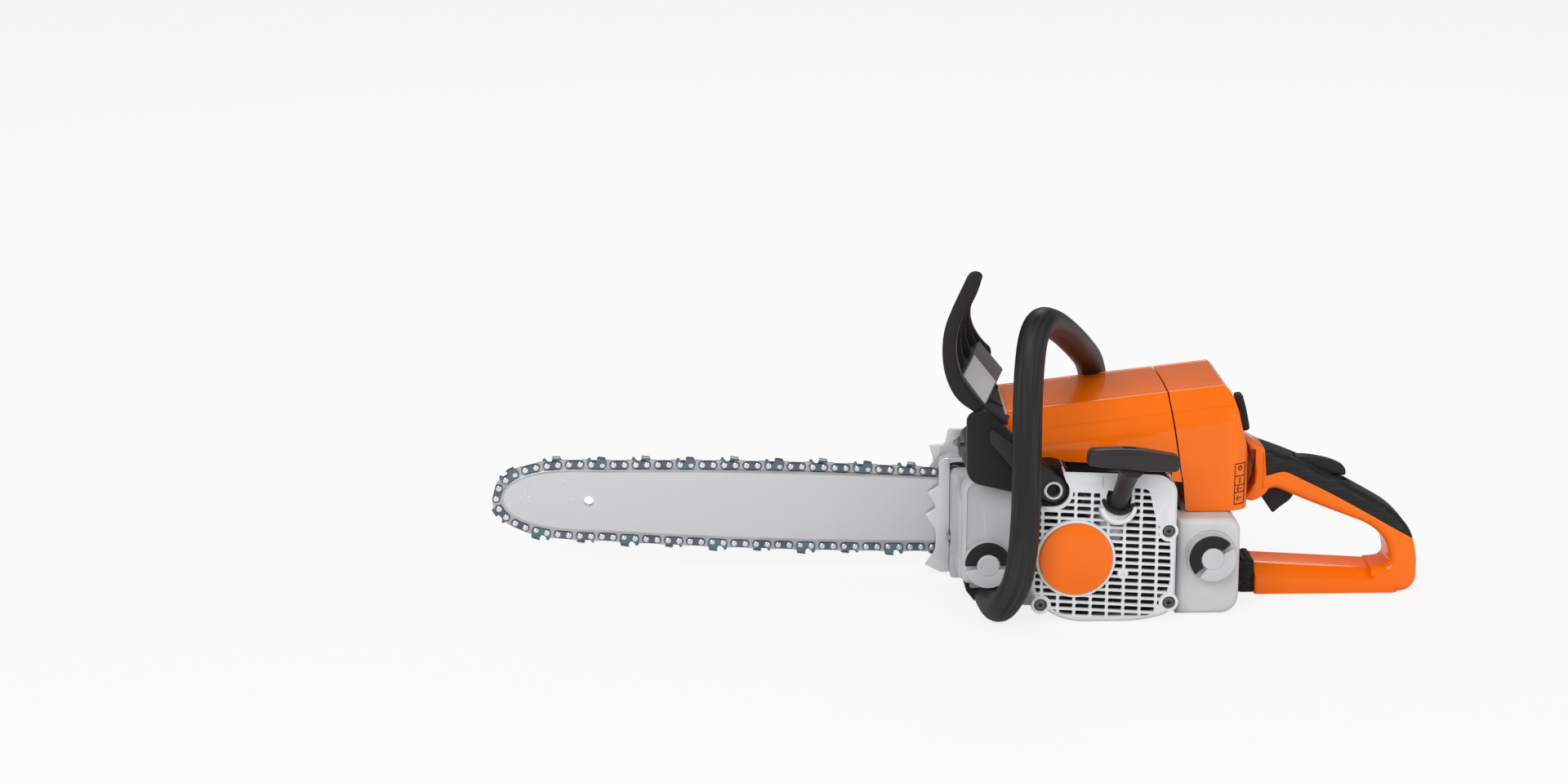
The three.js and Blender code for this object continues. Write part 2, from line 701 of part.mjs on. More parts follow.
// Cooling slots over the cover's face, left out round the badge, the grip and the rim.
function starterSlots() {
  const slots = [];
  const width = SLOT_PITCH_X - SLOT_RIB;
  for (let row = 0; row < SLOT_ROWS; row++) {
    for (let column = 0; column < 4; column++) {
      const x = STARTER_LEFT + 8 + column * SLOT_PITCH_X + width / 2;
      const z = 9 + row * SLOT_PITCH_Z;
      const nearBadge = Math.hypot(Math.max(0, Math.abs(x) - width / 2), z - CRANK_Z) < 30;
      const nearRim = Math.hypot(Math.max(0, x - 45), Math.min(0, z - 12)) > 12;
      const nearGrip = Math.abs(x - 27) < 26 && z > 68;
      const nearGuard = x < 5 && z > 80;
      if (nearBadge || nearRim || nearGrip || nearGuard) {
        continue;
      }
      const geometry = new THREE.BoxGeometry(width, 3 * WALL, SLOT_HEIGHT);
      geometry.translate(x, STARTER_FACE + WALL, z - x * Math.tan(rad(SLOT_TILT)) + 2);
      slots.push(solid(geometry));
    }
  }
  return union(slots);
}

// The places of the screws that hold the starter cover.
const starterScrewPlaces = [
  [STARTER_RIGHT - 6.5, 66], [STARTER_RIGHT - 6.5, 15], [STARTER_LEFT + 11, 20],
];

// The grip's slanting stem, from its seat in the cover up to the grip.
const STEM_LOW = [27.5, STARTER_FACE + 4, 80];
const STEM_HIGH = [34, -110, 118];

// A point on the stem's line, past the seat by a distance.
function stemPoint(distance) {
  const low = new THREE.Vector3(...STEM_LOW);
  const along = new THREE.Vector3(...STEM_HIGH).sub(low).normalize();
  return low.addScaledVector(along, -distance).toArray();
}

function starterCover() {
  const back = CASE_LEFT - GAP;
  const shell = slab(starterOutline(0), STARTER_FACE, back + 8, { round: 4, steps: 2, curve: 3 })
    .subtract(slab(starterOutline(WALL), STARTER_FACE + WALL, back + 9, { curve: 3 }))
    .subtract(block([-99, 199], [back, 0], [-9, 199]));
  const bosses = starterScrewPlaces.map(([x, z]) => rodY(x, z, 6.3, STARTER_FACE + 4, back, 12));
  const post = rodY(0, CRANK_Z, POST_RADIUS, STARTER_FACE + 1, -60, 16);
  const cup = rod(STEM_HIGH, stemPoint(4), 11, 16)
    .intersect(block([0, 60], [STARTER_FACE + 0.4, -70], [50, 106]));
  const heads = starterScrewPlaces.map(([x, z]) => (
    rodY(x, z, SCREW_HEAD + GAP, STARTER_FACE - 1, STARTER_FACE + 5.3, 12)
  ));
  const shanks = starterScrewPlaces.map(([x, z]) => rodY(x, z, 2.5, STARTER_FACE, back + 1, 8));
  const [pivotX, pivotZ] = GUARD_PIVOT;
  const guardNotch = block(
    [STARTER_LEFT - 1, pivotX], [STARTER_FACE - 1, GUARD_ARM_RIGHT + 1], [pivotZ - 11, 120],
  ).add(rodY(pivotX, pivotZ, 11, STARTER_FACE - 1, GUARD_ARM_RIGHT + 1))
    .add(armSweep());
  const ledge = rodY(pivotX, pivotZ, 13, GUARD_ARM_RIGHT + 1, GUARD_ARM_RIGHT + 4, 16)
    .intersect(slab(starterOutline(0.5), STARTER_FACE, -60));
  return union([shell, ...bosses, post, cup, ledge])
    .subtract(rod(STEM_HIGH, STEM_LOW, 8.6, 16))
    .subtract(rod(STEM_LOW, stemPoint(9), 2.5, 8))
    .subtract(union([...heads, ...shanks]))
    .subtract(starterSlots())
    .subtract(guardNotch)
    .add(ledge.subtract(rodY(pivotX, pivotZ, 5, -90, -60, 16)));
}

// The corner of the starter cover that the guard's arm passes.
function armSweep() {
  const [x, z] = GUARD_PIVOT;
  const corner = outline([[x - 30, z], [x, z + 11], [x + 11, z], [x, z + 30], [x - 30, z + 30]]);
  return slab(corner, STARTER_FACE - 1, GUARD_ARM_RIGHT + 1);
}

function starterBadge() {
  const [outer, inner] = [STARTER_FACE - 4, STARTER_FACE - GAP];
  const profile = [
    [BADGE_RADIUS - 1.5, outer], [BADGE_RADIUS, outer + 1.5], [BADGE_RADIUS, inner], [0, inner],
    [0, outer],
  ];
  return turnedY(profile, 0, CRANK_Z, 32);
}

function starterScrew([x, z]) {
  const head = rodY(x, z, SCREW_HEAD, STARTER_FACE + 1.5, STARTER_FACE + 5, 12);
  return head.add(rodY(x, z, 2.1, STARTER_FACE + 4, CASE_LEFT - GAP, 8));
}

function starterPulley() {
  const [left, right] = [-80, -62];
  const bore = POST_RADIUS + GAP;
  return turnedY(
    [
      [PULLEY_RADIUS, left], [PULLEY_RADIUS, left + 3], [PULLEY_HUB, left + 4],
      [PULLEY_HUB, right - 4], [PULLEY_RADIUS, right - 3], [PULLEY_RADIUS, right],
      [bore, right], [bore, left],
    ],
    0,
    CRANK_Z,
  );
}

function starterRopeCoil() {
  const [y0, y1] = [-75.4, -66.6];
  const hub = PULLEY_HUB + GAP;
  const rim = PULLEY_RADIUS - 3;
  return turnedY([[rim, y0], [rim, y1], [hub, y1], [hub, y0]], 0, CRANK_Z, 20);
}

function recoilSpring() {
  const turns = 3;
  const perTurn = 12;
  const steps = perTurn * turns;
  const edge = (offset) => {
    const points = [];
    for (let i = 0; i <= steps; i++) {
      const angle = (i / perTurn) * 2 * Math.PI;
      const radius = POST_RADIUS + 1.2 + (i / steps) * (PULLEY_RADIUS - 12) + offset;
      points.push([radius * Math.cos(angle), radius * Math.sin(angle)]);
    }
    return points;
  };
  const strip = outline([...edge(-0.5), ...edge(0.5).reverse()]);
  return solid(slabY(strip, STARTER_FACE + 3, -80 - GAP).translate(0, 0, CRANK_Z));
}

function starterGrip() {
  const bar = slab(
    outline([[3, 120.5, 4], [4, 132.5, 4], [35, 133.5, 9], [68, 127.5, 4], [68, 115, 4],
      [38, 116, 6], [30, 116, 6]]),
    -117,
    -103,
    { round: 3, lean: 2, steps: 1, curve: 2 },
  );
  const stem = rod(stemPoint(-GAP), STEM_HIGH, 6.5, 12, 7.5);
  return bar.add(stem).subtract(rod(stemPoint(-1 - GAP), stemPoint(1), 1.8, 6));
}

function guardPivotBush() {
  const [x, z] = GUARD_PIVOT;
  const [y0, y1] = [GUARD_ARM_LEFT - 1.5, GUARD_ARM_RIGHT + 0.7];
  return turnedY([[6.8, y0], [6.8, y1], [4.6, y1], [4.6, y0]], x, z, 20);
}

// ---------------------------------------------------------------- bar, chain and its cover

function guideBar() {
  const loop = barLoop();
  const [y0, y1] = [BAR_Y - BAR_GROOVE / 2, BAR_Y + BAR_GROOVE / 2];
  const groove = barSlab(grown(loop, 2), y0, y1)
    .subtract(barSlab(grown(loop, -GROOVE_DEPTH), y0 - 1, y1 + 1));
  const slotFrom = STUD_REAR - STUD_RADIUS - 1;
  const slotTo = STUD_FRONT + STUD_RADIUS + TENSION_TRAVEL + 1;
  const slot = barBlock([slotFrom, slotTo], [BAR_LEFT - 1, BAR_RIGHT + 1],
    [-STUD_RADIUS - GAP, STUD_RADIUS + GAP]);
  const pocket = barRod(NOSE_CENTRE, 0, NOSE_SPROCKET + 0.8, y0, y1, 24)
    .subtract(barRod(NOSE_CENTRE, 0, 5, y0 - 1, y1 + 1));
  return barSlab(loop, BAR_LEFT, BAR_RIGHT)
    .subtract(groove)
    .subtract(slot)
    .subtract(pocket)
    .subtract(barRod(PIN_D, PIN_H, PIN_RADIUS + GAP, BAR_LEFT - 1, BAR_RIGHT + 1))
    .subtract(barRod(343, 0, 3.75, BAR_LEFT - 1, BAR_RIGHT + 1));
}

function noseSprocket() {
  const half = BAR_GROOVE / 2 - GAP;
  const points = [];
  for (let i = 0; i < 2 * NOSE_TEETH; i++) {
    const radius = i % 2 === 0 ? NOSE_SPROCKET : NOSE_SPROCKET - 3.5;
    const angle = (i / NOSE_TEETH) * Math.PI;
    points.push([radius * Math.cos(angle) - NOSE_CENTRE, radius * Math.sin(angle)]);
  }
  const wheel = barSlab(points, BAR_Y - half, BAR_Y + half);
  return wheel.subtract(barRod(NOSE_CENTRE, 0, 5 + GAP, BAR_Y - 5, BAR_Y + 5));
}

// The chain as one loop: a strap band on the rails, a tang band in the groove and the cutters.
function sawChain() {
  const loop = chainLoop();
  const low = grown(loop, GAP);
  const [y0, y1] = [BAR_Y - 2.3, BAR_Y + 2.3];
  const band = barSlab(grown(loop, CHAIN_HEIGHT), y0, y1).subtract(barSlab(low, y0 - 1, y1 + 1));
  const tangHalf = BAR_GROOVE / 2 - GAP;
  const tangs = barSlab(grown(loop, 1), BAR_Y - tangHalf, BAR_Y + tangHalf)
    .subtract(barSlab(grown(loop, -GROOVE_DEPTH + 1.5), y0 - 1, y1 + 1))
    .subtract(barRod(NOSE_CENTRE, 0, NOSE_SPROCKET + 0.6, y0, y1, 24))
    .subtract(barBlock([-40, BAR_TAIL + 10], [y0, y1], [-60, 60]));
  return union([band, tangs, ...cutters()]);
}

// Cutters along both runs, leaning alternately to the left and to the right.
function cutters() {
  const blocks = [];
  const count = Math.floor((BAR_LENGTH - BAR_NOSE - 60) / CUTTER_PITCH);
  for (const run of [-1, 1]) {
    for (let i = 0; i <= count; i++) {
      const d = 60 + i * CUTTER_PITCH;
      const side = i % 2 === 0 ? -1 : 1;
      const base = barHalfHeight(d) + CHAIN_HEIGHT;
      const [y0, y1] = side < 0 ? [BAR_Y - 4, BAR_Y] : [BAR_Y, BAR_Y + 4];
      const heights = [run * (base - 1.5), run * (base + CUTTER_HEIGHT)].sort((a, b) => a - b);
      blocks.push(barBlock([d, d + 11], [y0, y1], heights));
    }
  }
  return blocks;
}

function tensionerScrew() {
  return barRodAlong([34.5, 80], PIN_RADIUS);
}

function tensionerSlider() {
  const carrier = barBlock([PIN_D - 5, PIN_D + 5], [TENSIONER_Y - 4.5, BAR_LEFT - 2 * GAP],
    [PIN_H - 4.6, PIN_H + 4.6]);
  return carrier
    .subtract(barRodAlong([PIN_D - 9, PIN_D + 9], PIN_RADIUS + GAP))
    .add(barRod(PIN_D, PIN_H, PIN_RADIUS, BAR_LEFT - 1, BAR_RIGHT - 0.5, 12));
}

const barStud = (d) => barRod(d, 0, STUD_RADIUS, 29.3, 70, 12);

function barNut(d) {
  return barRod(d, 0, 8.5, 62.3, 69, 6)
    .subtract(barRod(d, 0, STUD_RADIUS + GAP, 60, 72, 12));
}

const coverOutline = (inset) => outline([
  [COVER_FRONT + inset, 1 + inset, 8], [COVER_FRONT + inset, COVER_STEP - inset, 8],
  [-56, COVER_STEP - inset, 4], [-46, COVER_TOP - inset, 6],
  [COVER_REAR - inset, COVER_TOP - inset, 22], [COVER_REAR - inset, 1 + inset, 18],
]);

function sprocketCover() {
  const seat = BAR_RIGHT + GAP;
  const rim = CASE_RIGHT + GAP;
  const shell = slab(coverOutline(0), rim - 8, COVER_FACE, { round: 6, lean: 3, steps: 2, curve: 3 })
    .subtract(slab(coverOutline(WALL), rim - 9, COVER_FACE - WALL, { curve: 3 }))
    .subtract(block([-99, 99], [rim - 9, rim], [-9, 99]))
    .subtract(block([-99, CHAIN_PASSAGE], [rim - 9, BAR_RIGHT + 5], [-5, 86]));
  const wells = [STUD_FRONT, STUD_REAR].map((d) => barRod(d, 0, 12.5, seat, COVER_FACE - 1));
  const hollows = [STUD_FRONT, STUD_REAR].map((d) => (
    barRod(d, 0, 10, 62, COVER_FACE + 1).add(barRod(d, 0, STUD_RADIUS + GAP, seat - 1, 63))
  ));
  const chipWay = block([30, 60], [50, 74], [-5, 20]);
  return shell.add(union(wells)).subtract(union(hollows)).subtract(chipWay);
}

function bumperSpikeInner() {
  return slab(
    outline([
      [CASE_FRONT - GAP, 1], [CASE_FRONT - GAP, 88], [-84, 88], [-86.7, 84.5], [-86.5, 66.5],
      [-94.3, 61.6], [-87.5, 49.8], [-95.9, 44.9], [-87.5, 33], [-88, 18], [-96, 6.8],
      [-84, 1],
    ]),
    36,
    39,
  );
}

function bumperSpikeOuter() {
  const [front, top] = [COVER_FRONT - GAP, COVER_STEP + GAP];
  return slab(
    outline([
      [front, 16], [front, top], [-63.5, top], [-63.5, 104.6], [-78, 104.6], [-80, 93],
      [-92, 92], [-88, 80], [-97, 68], [-88, 56], [-97, 44], [-88, 32], [-97, 20], [-88, 12],
      [front, 12],
    ]),
    58,
    61,
  );
}

const chainCatcher = () => block([-74, -66], [CASE_RIGHT + GAP, CASE_RIGHT + 10], [0.5, 3.2]);

// ---------------------------------------------------------------- hood

// The arch of both top covers, shrunk by an inset. It runs on below the covers' lower edges.
function hoodArch(inset) {
  const half = HOOD_HALF_WIDTH - inset;
  const side = outline([
    [-47 + inset, 30], [-47 + inset, 139], [-43 + inset, 151 - inset, 5], [35, 161 - inset],
    [101, 167.5 - inset, 14], [115 - inset, 160 - inset, 10], [124 - inset, 138, 8],
    [120.5 - inset, 98], [120.5 - inset, 30],
  ]);
  const top = HOOD_CROWN - inset;
  const section = outline([
    [-half, 0], [-half, top - HOOD_CHAMFER - 16, 8], [6 - half, top - HOOD_CHAMFER, 5],
    [18 - half, top - 2, 14], [0, top, 40], [half - 18, top - 2, 14],
    [half - 6, top - HOOD_CHAMFER, 5], [half, top - HOOD_CHAMFER - 16, 8], [half, 0],
  ]);
  return slab(side, -half, half).intersect(prismX(section, -60, 140, HOOD_SLOPE));
}

// The side view of each cover, cut from the arch.
const hoodSides = {
  front: [
    [-60, 139], [-60, 200], [SEAM_TOP[0] - 5, 200], SEAM_TOP, SEAM_BOTTOM,
    [STARTER_RIGHT + 2 * GAP, 93], [STARTER_RIGHT + 2 * GAP, 102.8], [-12, STARTER_TOP + 1],
    [-46, 139],
  ],
  rear: [
    [SEAM_TOP[0] - 5, 200], [200, 200], [200, TANK_TOP + 0.4], [82, TANK_TOP + 0.4],
    SEAM_BOTTOM, SEAM_TOP,
  ],
};

function topShroud() {
  const side = slab(outline(hoodSides.front.map(([x, z]) => [x - (x > 50 ? GAP : 0), z])), -60, 60);
  const guardPassage = block([-60, -36], [-37, 37], [90, 138]);
  return hoodArch(0).subtract(hoodArch(WALL)).intersect(side).subtract(guardPassage);
}

function carbCover() {
  const side = slab(outline(hoodSides.rear), -60, 60);
  const neckPassage = block([110, 140], [-20, 20], [60, 84]);
  const lockHole = rod([110, -5, 132], [130, -5, 132], 6, 16);
  return hoodArch(0).subtract(hoodArch(WALL)).intersect(side)
    .subtract(neckPassage)
    .subtract(lockHole);
}

function coverTwistLock() {
  const side = outline([[125.4, 118, 2], [125.4, 146, 2], [133, 144, 2], [134.5, 120, 2]]);
  const wing = slab(side, -10, 0, { round: 2, lean: 0.8, steps: 1, curve: 2 });
  return wing.add(rod([116.5, -5, 132], [127, -5, 132], 5.7, 16));
}

// ---------------------------------------------------------------- handles and controls

function frontHandle() {
  return tube(
    [
      [-57, -8, 10.2], [-57.5, -45, 10.2], [-55, -82, 10.6], [-50, -103, 20], [-42, -111, 42],
      [-38.3, HANDLE_Y, 80], [-38, HANDLE_Y, 125], [-38, HANDLE_Y, 165], [-36.5, -111, 192],
      [-31, -105, 211], [-22, -94, 219.5], [-9.5, -65, 209], [0, -38, 197], [9, -10, 186],
      [18, 18, 174.5], [26, 46, 165.5], [30, 62, 145], [30, 63.5, 120], [30, 63.5, 98],
    ],
    HANDLE_RADIUS - 0.5,
    36,
    5,
  );
}

// The rear handle seen from the side: neck, grip, heel and lower bar.
const handleSide = [
  [127.6, 116, 4.5], [136, 111.5, 3], [142, 108, 2], [172, 97.4, 20], [206, 79.6, 20], [238, 61, 8],
  [251, 47, 10], [256, 30, 14], [256.5, 8, 8], [249, 0, 6], [142, 0, 2], [142, 24.3, 2],
  [227, 18.8, 6], [236.5, 20, 6], [234.5, 38, 10], [221, 50.4, 10], [176, 68, 12], [151, 78, 6],
  [142, 73, 3], [134, 68.5, 3], [127.6, 72, 2], [136.8, 92, 12],
];

// The side view of the soft inlay along the top of the grip.
const inlaySide = (grow) => outline([
  [141 - grow, 130], [144 - grow, 88 - grow], [157, 92 - grow, 4], [196, 72.5 - grow, 10],
  [230, 53 - grow, 10], [260, 36 - grow], [280, 130],
]);

const handleWhole = () => slab(outline(handleSide), GRIP_LEFT, GRIP_RIGHT, { curve: 3 });

// Slots in the grip for the trigger below and the lockout above.
const triggerSlot = () => block([141.5, 170], [-12, 2], [50, 92]);
const lockoutSlot = () => block([166, 207], [-13, 3], [78, 120]);

function rearHandle() {
  const footPlate = slab(outline([[150, 0, 6], [150, 8, 3], [244, 8, 3], [244, 0, 6]]),
    GRIP_RIGHT - 3, 42, { curve: 1 });
  const tray = block([84, 118], [-38, 38], [TANK_TOP + 0.4, TANK_TOP + 4]);
  const neck = block([110, 132], [-15, 15], [TANK_TOP + 0.6, 80]);
  const pedestal = block([86, 100], [-15, 15], [TANK_TOP + 3, 87.5]);
  const leverEar = block([122, 132], [GRIP_LEFT + 11, 10], [79, 91]);
  return handleWhole()
    .subtract(slab(inlaySide(GAP), -60, 60))
    .add(union([footPlate, tray, neck, pedestal, leverEar]))
    .subtract(triggerSlot())
    .subtract(lockoutSlot())
    .subtract(block([LEVER_PIN[0] - 4.5, LEVER_PIN[0] + 10.5], [-40, GRIP_LEFT + 11], [82, 108]))
    .add(rodY(...TRIGGER_PIN, PIVOT_PIN_RADIUS, -13, 3, 12))
    .add(rodY(...LEVER_PIN, PIVOT_PIN_RADIUS, -29.5, GRIP_LEFT + 12, 12));
}

function rearGrip() {
  return handleWhole().intersect(slab(inlaySide(0), -60, 60))
    .subtract(lockoutSlot());
}

function throttleTrigger() {
  const side = outline([
    [142.6, 70, 1.5], [152, 56.2, 3], [156, 60, 3], [166, 68, 3], [168.5, 76, 2], [160, 88, 3],
    [146, 88, 3], [142.6, 80, 2],
  ]);
  return slab(side, -10.5, 0.5, { round: 2, lean: 0.7, steps: 1, curve: 2 })
    .subtract(rodY(...TRIGGER_PIN, PIVOT_PIN_RADIUS + GAP, -20, 10, 12));
}

function throttleLockout() {
  const side = outline([
    [166.6, 85, 2], [166.6, 99.4, 2], [176, 99.6, 6], [195, 95.6, 6], [204, 90, 3],
    [204.5, 84, 2], [180, 87, 4],
  ]);
  return slab(side, -11, 1, { round: 2, lean: 0.8, steps: 1, curve: 2 });
}

function masterControlLever() {
  const side = outline([
    [122.5, 84], [122.5, 98, 2], [126, 107, 2], [131, 104, 2], [128, 94], [128, 84],
  ]);
  return slab(side, -30, GRIP_LEFT + 9)
    .subtract(rodY(...LEVER_PIN, PIVOT_PIN_RADIUS + GAP, -40, 0, 12));
}

const avBufferRear = () => slab(
  outline([[TANK_REAR + GAP, 9, 1], [TANK_REAR + GAP, 27, 3], [141.7, 25, 1], [141.7, 0.5, 1],
    [124, 0.5, 4]]),
  GRIP_LEFT + 2,
  GRIP_RIGHT - 2,
  { curve: 1 },
);

const avBufferFront = () => rodY(-57, 10.2, 8.8, -7.6, 23.7, 16);

// The guard: a swept sheet with a thick rim, carried by an arm on the starter side.
function handGuard() {
  const sheet = outline([
    [-75.5, 250.5, 3.5], [-67, 247, 3.5], [-74, 228, 6], [-83, 212, 10], [-85.5, 193, 10],
    [-80, 172, 10], [-66, 153, 6], [-48.5, 143], [-48.5, 139.5], [-68, 147, 6],
    [-84.5, 158, 10], [-92, 175, 10], [-95, 193, 10], [-93, 211, 10], [-86, 228, 8],
  ]);
  const geometry = slabY(sheet, GUARD_LEFT, GUARD_RIGHT, { round: 5, lean: 1, steps: 2, curve: 2 });
  const sweep = new THREE.Matrix4().makeShear(0, 0, GUARD_SWEEP, 0, 0, 0);
  sweep.premultiply(new THREE.Matrix4().makeTranslation(-GUARD_SWEEP * GUARD_LEFT, 0, 0));
  geometry.applyMatrix4(sweep);
  const [x, z] = GUARD_PIVOT;
  const panel = slab(
    outline([
      [-76.5, 147, 4], [-76, 100.5, 8], [x, z - 9], [x + 6.4, z + 6.4], [-48, 133], [-66, 152, 4],
    ]),
    GUARD_LEFT - 5,
    GUARD_ARM_RIGHT,
  );
  const arm = slab(
    outline([[x, z - 9.5], [x + 7, z + 6.7], [-44, 128], [-60, 141], [-60, 118]]),
    GUARD_ARM_LEFT,
    GUARD_ARM_RIGHT,
  ).add(rodY(x, z, 9.5, GUARD_ARM_LEFT, GUARD_ARM_RIGHT, 20));
  return solid(geometry)
    .subtract(block([-48.5, 40], [-60, 60], [100, 170]))
    .add(panel)
    .add(arm)
    .subtract(rodY(x, z, 6.8 + GAP, -100, -60, 20));
}

// ---------------------------------------------------------------- filler caps

// A cap in its own frame: the axis runs along Y and the tank's face is at y = 0.
function capBody() {
  const low = -GAP;
  const rim = -8;
  const top = rim - FLAP_THICKNESS - GAP;
  const body = turnedY(
    [
      [0, top], [CAP_DISC, top], [CAP_DISC, rim], [CAP_RADIUS, rim], [CAP_RADIUS, low],
      [CAP_NECK, low], [CAP_NECK, CAP_PLUG_DEPTH], [0, CAP_PLUG_DEPTH],
    ],
    0,
    0,
    20,
  );
  const bowl = slab(sector(CAP_DISC - 0.5, CAP_RADIUS, 195, 345), top, rim + 0.5, { curve: 8 });
  return body.add(bowl.subtract(block([-20, 20], [-30, 9], [-FLAP_THICKNESS / 2 - 0.5, 20])));
}

function capFlap() {
  const rim = -8 - GAP;
  return slab(sector(CAP_DISC + 0.6, CAP_RADIUS, 0, 180), rim - FLAP_THICKNESS, rim, { curve: 10 });
}

// A cap and its folding wing, turned about the filler's axis.
function fillerCap(name, [x, z], y, turn) {
  const group = new THREE.Group();
  group.add(mesh(name, capBody(), LIGHT_GREY));
  group.add(mesh(`${name}_flap`, capFlap(), BLACK_PLASTIC));
  group.position.set(x, y, z);
  group.rotation.y = rad(-turn);
  return group;
}

// ---------------------------------------------------------------- assembly

function engine() {
  const group = new THREE.Group();
  group.add(
    mesh("engine_housing", engineHousing(), LIGHT_GREY),
    mesh("cylinder", cylinder(), ALLOY),
    mesh("piston", piston(), ALLOY),
    mesh("crankshaft", crankshaft(), STEEL),
    mesh("crank_bearing_left", crankBearing(-1), STEEL),
    mesh("crank_bearing_right", crankBearing(1), STEEL),
    mesh("flywheel", flywheel(), ALLOY),
    mesh("oil_pump", pumpPocket(GAP), ALLOY),
    mesh("muffler", muffler(), DARK_STEEL),
    mesh("spark_plug", sparkPlug(), STEEL),
    mesh("spark_plug_boot", sparkPlugBoot(), BLACK_RUBBER),
    mesh("ignition_module", ignitionModule(), BLACK_PLASTIC),
    mesh("ignition_lead", ignitionLead(), BLACK_RUBBER),
    mesh("intake_boot", intakeBoot(), BLACK_RUBBER),
    mesh("carburetor", carburetor(), ALLOY),
    mesh("air_filter", airFilter(), LIGHT_GREY),
  );
  return group;
}

function clutch() {
  const group = new THREE.Group();
  group.add(
    mesh("clutch_hub", clutchHub(), DARK_STEEL),
    mesh("clutch_drum", clutchDrum(), STEEL),
    mesh("brake_band", brakeBand(), STEEL),
  );
  for (let i = 0; i < SHOE_COUNT; i++) {
    group.add(mesh(`clutch_shoe_${i + 1}`, clutchShoe(i), DARK_STEEL));
  }
  return group;
}

function starter() {
  const group = new THREE.Group();
  group.add(
    mesh("starter_cover", starterCover(), LIGHT_GREY),
    mesh("starter_badge", starterBadge(), ORANGE),
    mesh("starter_pulley", starterPulley(), BLACK_PLASTIC),
    mesh("starter_rope_coil", starterRopeCoil(), LIGHT_GREY),
    mesh("recoil_spring", recoilSpring(), STEEL),
    mesh("starter_grip", starterGrip(), BLACK_PLASTIC),
    mesh("guard_pivot_bush", guardPivotBush(), STEEL),
  );
  starterScrewPlaces.slice(0, 2).forEach((place, i) => {
    group.add(mesh(`starter_screw_${i + 1}`, starterScrew(place), STEEL));
  });
  return group;
}

function cuttingGear() {
  const group = new THREE.Group();
  group.add(
    mesh("guide_bar", guideBar(), STEEL),
    mesh("nose_sprocket", noseSprocket(), STEEL),
    mesh("saw_chain", sawChain(), DARK_STEEL),
    mesh("tensioner_screw", tensionerScrew(), STEEL),
    mesh("tensioner_slider", tensionerSlider(), STEEL),
    mesh("bar_stud_front", barStud(STUD_FRONT), STEEL),
    mesh("bar_stud_rear", barStud(STUD_REAR), STEEL),
    mesh("bar_nut_front", barNut(STUD_FRONT), STEEL),
    mesh("bar_nut_rear", barNut(STUD_REAR), STEEL),
    mesh("sprocket_cover", sprocketCover(), LIGHT_GREY),
    mesh("bumper_spike_inner", bumperSpikeInner(), LIGHT_GREY),
    mesh("bumper_spike_outer", bumperSpikeOuter(), LIGHT_GREY),
    mesh("chain_catcher", chainCatcher(), ALLOY),
  );
  return group;
}

function hoodAndHandles() {
  const group = new THREE.Group();
  group.add(
    mesh("top_shroud", topShroud(), ORANGE),
    mesh("carb_cover", carbCover(), ORANGE),
    mesh("cover_twist_lock", coverTwistLock(), BLACK_PLASTIC),
    mesh("front_handle", frontHandle(), BLACK_RUBBER),
    mesh("rear_handle", rearHandle(), ORANGE),
    mesh("rear_grip", rearGrip(), BLACK_RUBBER),
    mesh("throttle_trigger", throttleTrigger(), BLACK_PLASTIC),
    mesh("throttle_lockout", throttleLockout(), BLACK_PLASTIC),
    mesh("master_control_lever", masterControlLever(), BLACK_PLASTIC),
    mesh("av_buffer_rear", avBufferRear(), BLACK_RUBBER),
    mesh("av_buffer_front", avBufferFront(), BLACK_RUBBER),
    mesh("hand_guard", handGuard(), BLACK_PLASTIC),
  );
  return group;
}

const chainsaw = new THREE.Group();
chainsaw.add(
  engine(),
  clutch(),
  starter(),
  cuttingGear(),
  hoodAndHandles(),
  fillerCap("oil_cap", OIL_CAP, OIL_LEFT, 0),
  fillerCap("fuel_cap", FUEL_CAP, TANK_LEFT, FUEL_CAP_TURN),
);

export default chainsaw;
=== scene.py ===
"""A petrol chainsaw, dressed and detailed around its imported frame.

Sizes are millimetres in the saw's own frame: +X runs back to the rear handle, the guide bar points
along -X, -Y is the starter side and +Z is up. Meshes are scaled to metres when they are finished.
"""

from __future__ import annotations

import logging
import math
from dataclasses import dataclass, field
from enum import Enum
from typing import Callable, Iterable, Sequence

import bmesh
import bpy
from mathutils import Matrix, Vector


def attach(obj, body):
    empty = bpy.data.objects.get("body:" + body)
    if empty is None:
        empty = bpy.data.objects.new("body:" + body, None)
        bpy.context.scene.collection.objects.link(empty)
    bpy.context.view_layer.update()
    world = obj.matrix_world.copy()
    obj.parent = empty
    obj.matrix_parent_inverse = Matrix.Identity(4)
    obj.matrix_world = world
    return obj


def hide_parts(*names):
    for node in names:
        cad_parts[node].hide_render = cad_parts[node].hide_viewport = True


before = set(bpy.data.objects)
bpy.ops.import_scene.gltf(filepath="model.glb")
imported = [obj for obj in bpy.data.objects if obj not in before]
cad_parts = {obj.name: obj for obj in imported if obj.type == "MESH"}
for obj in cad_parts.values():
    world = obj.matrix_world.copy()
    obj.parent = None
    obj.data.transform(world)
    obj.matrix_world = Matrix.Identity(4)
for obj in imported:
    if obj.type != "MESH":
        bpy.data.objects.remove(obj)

MM = 0.001
LOG = logging.getLogger("chainsaw")

SQUARE_END = 0.01
CRANK_Z = 47.0
GUARD_PIVOT = (-16.0, 95.5)
OIL_FILLER = (-59.5, 37.3)
OIL_FACE = -60.0
FUEL_FILLER = (97.5, 44.0)
FUEL_FACE = -72.0

Corner = tuple[float, ...]
Point = tuple[float, float, float]
Point2 = tuple[float, float]


# ---- shader maths


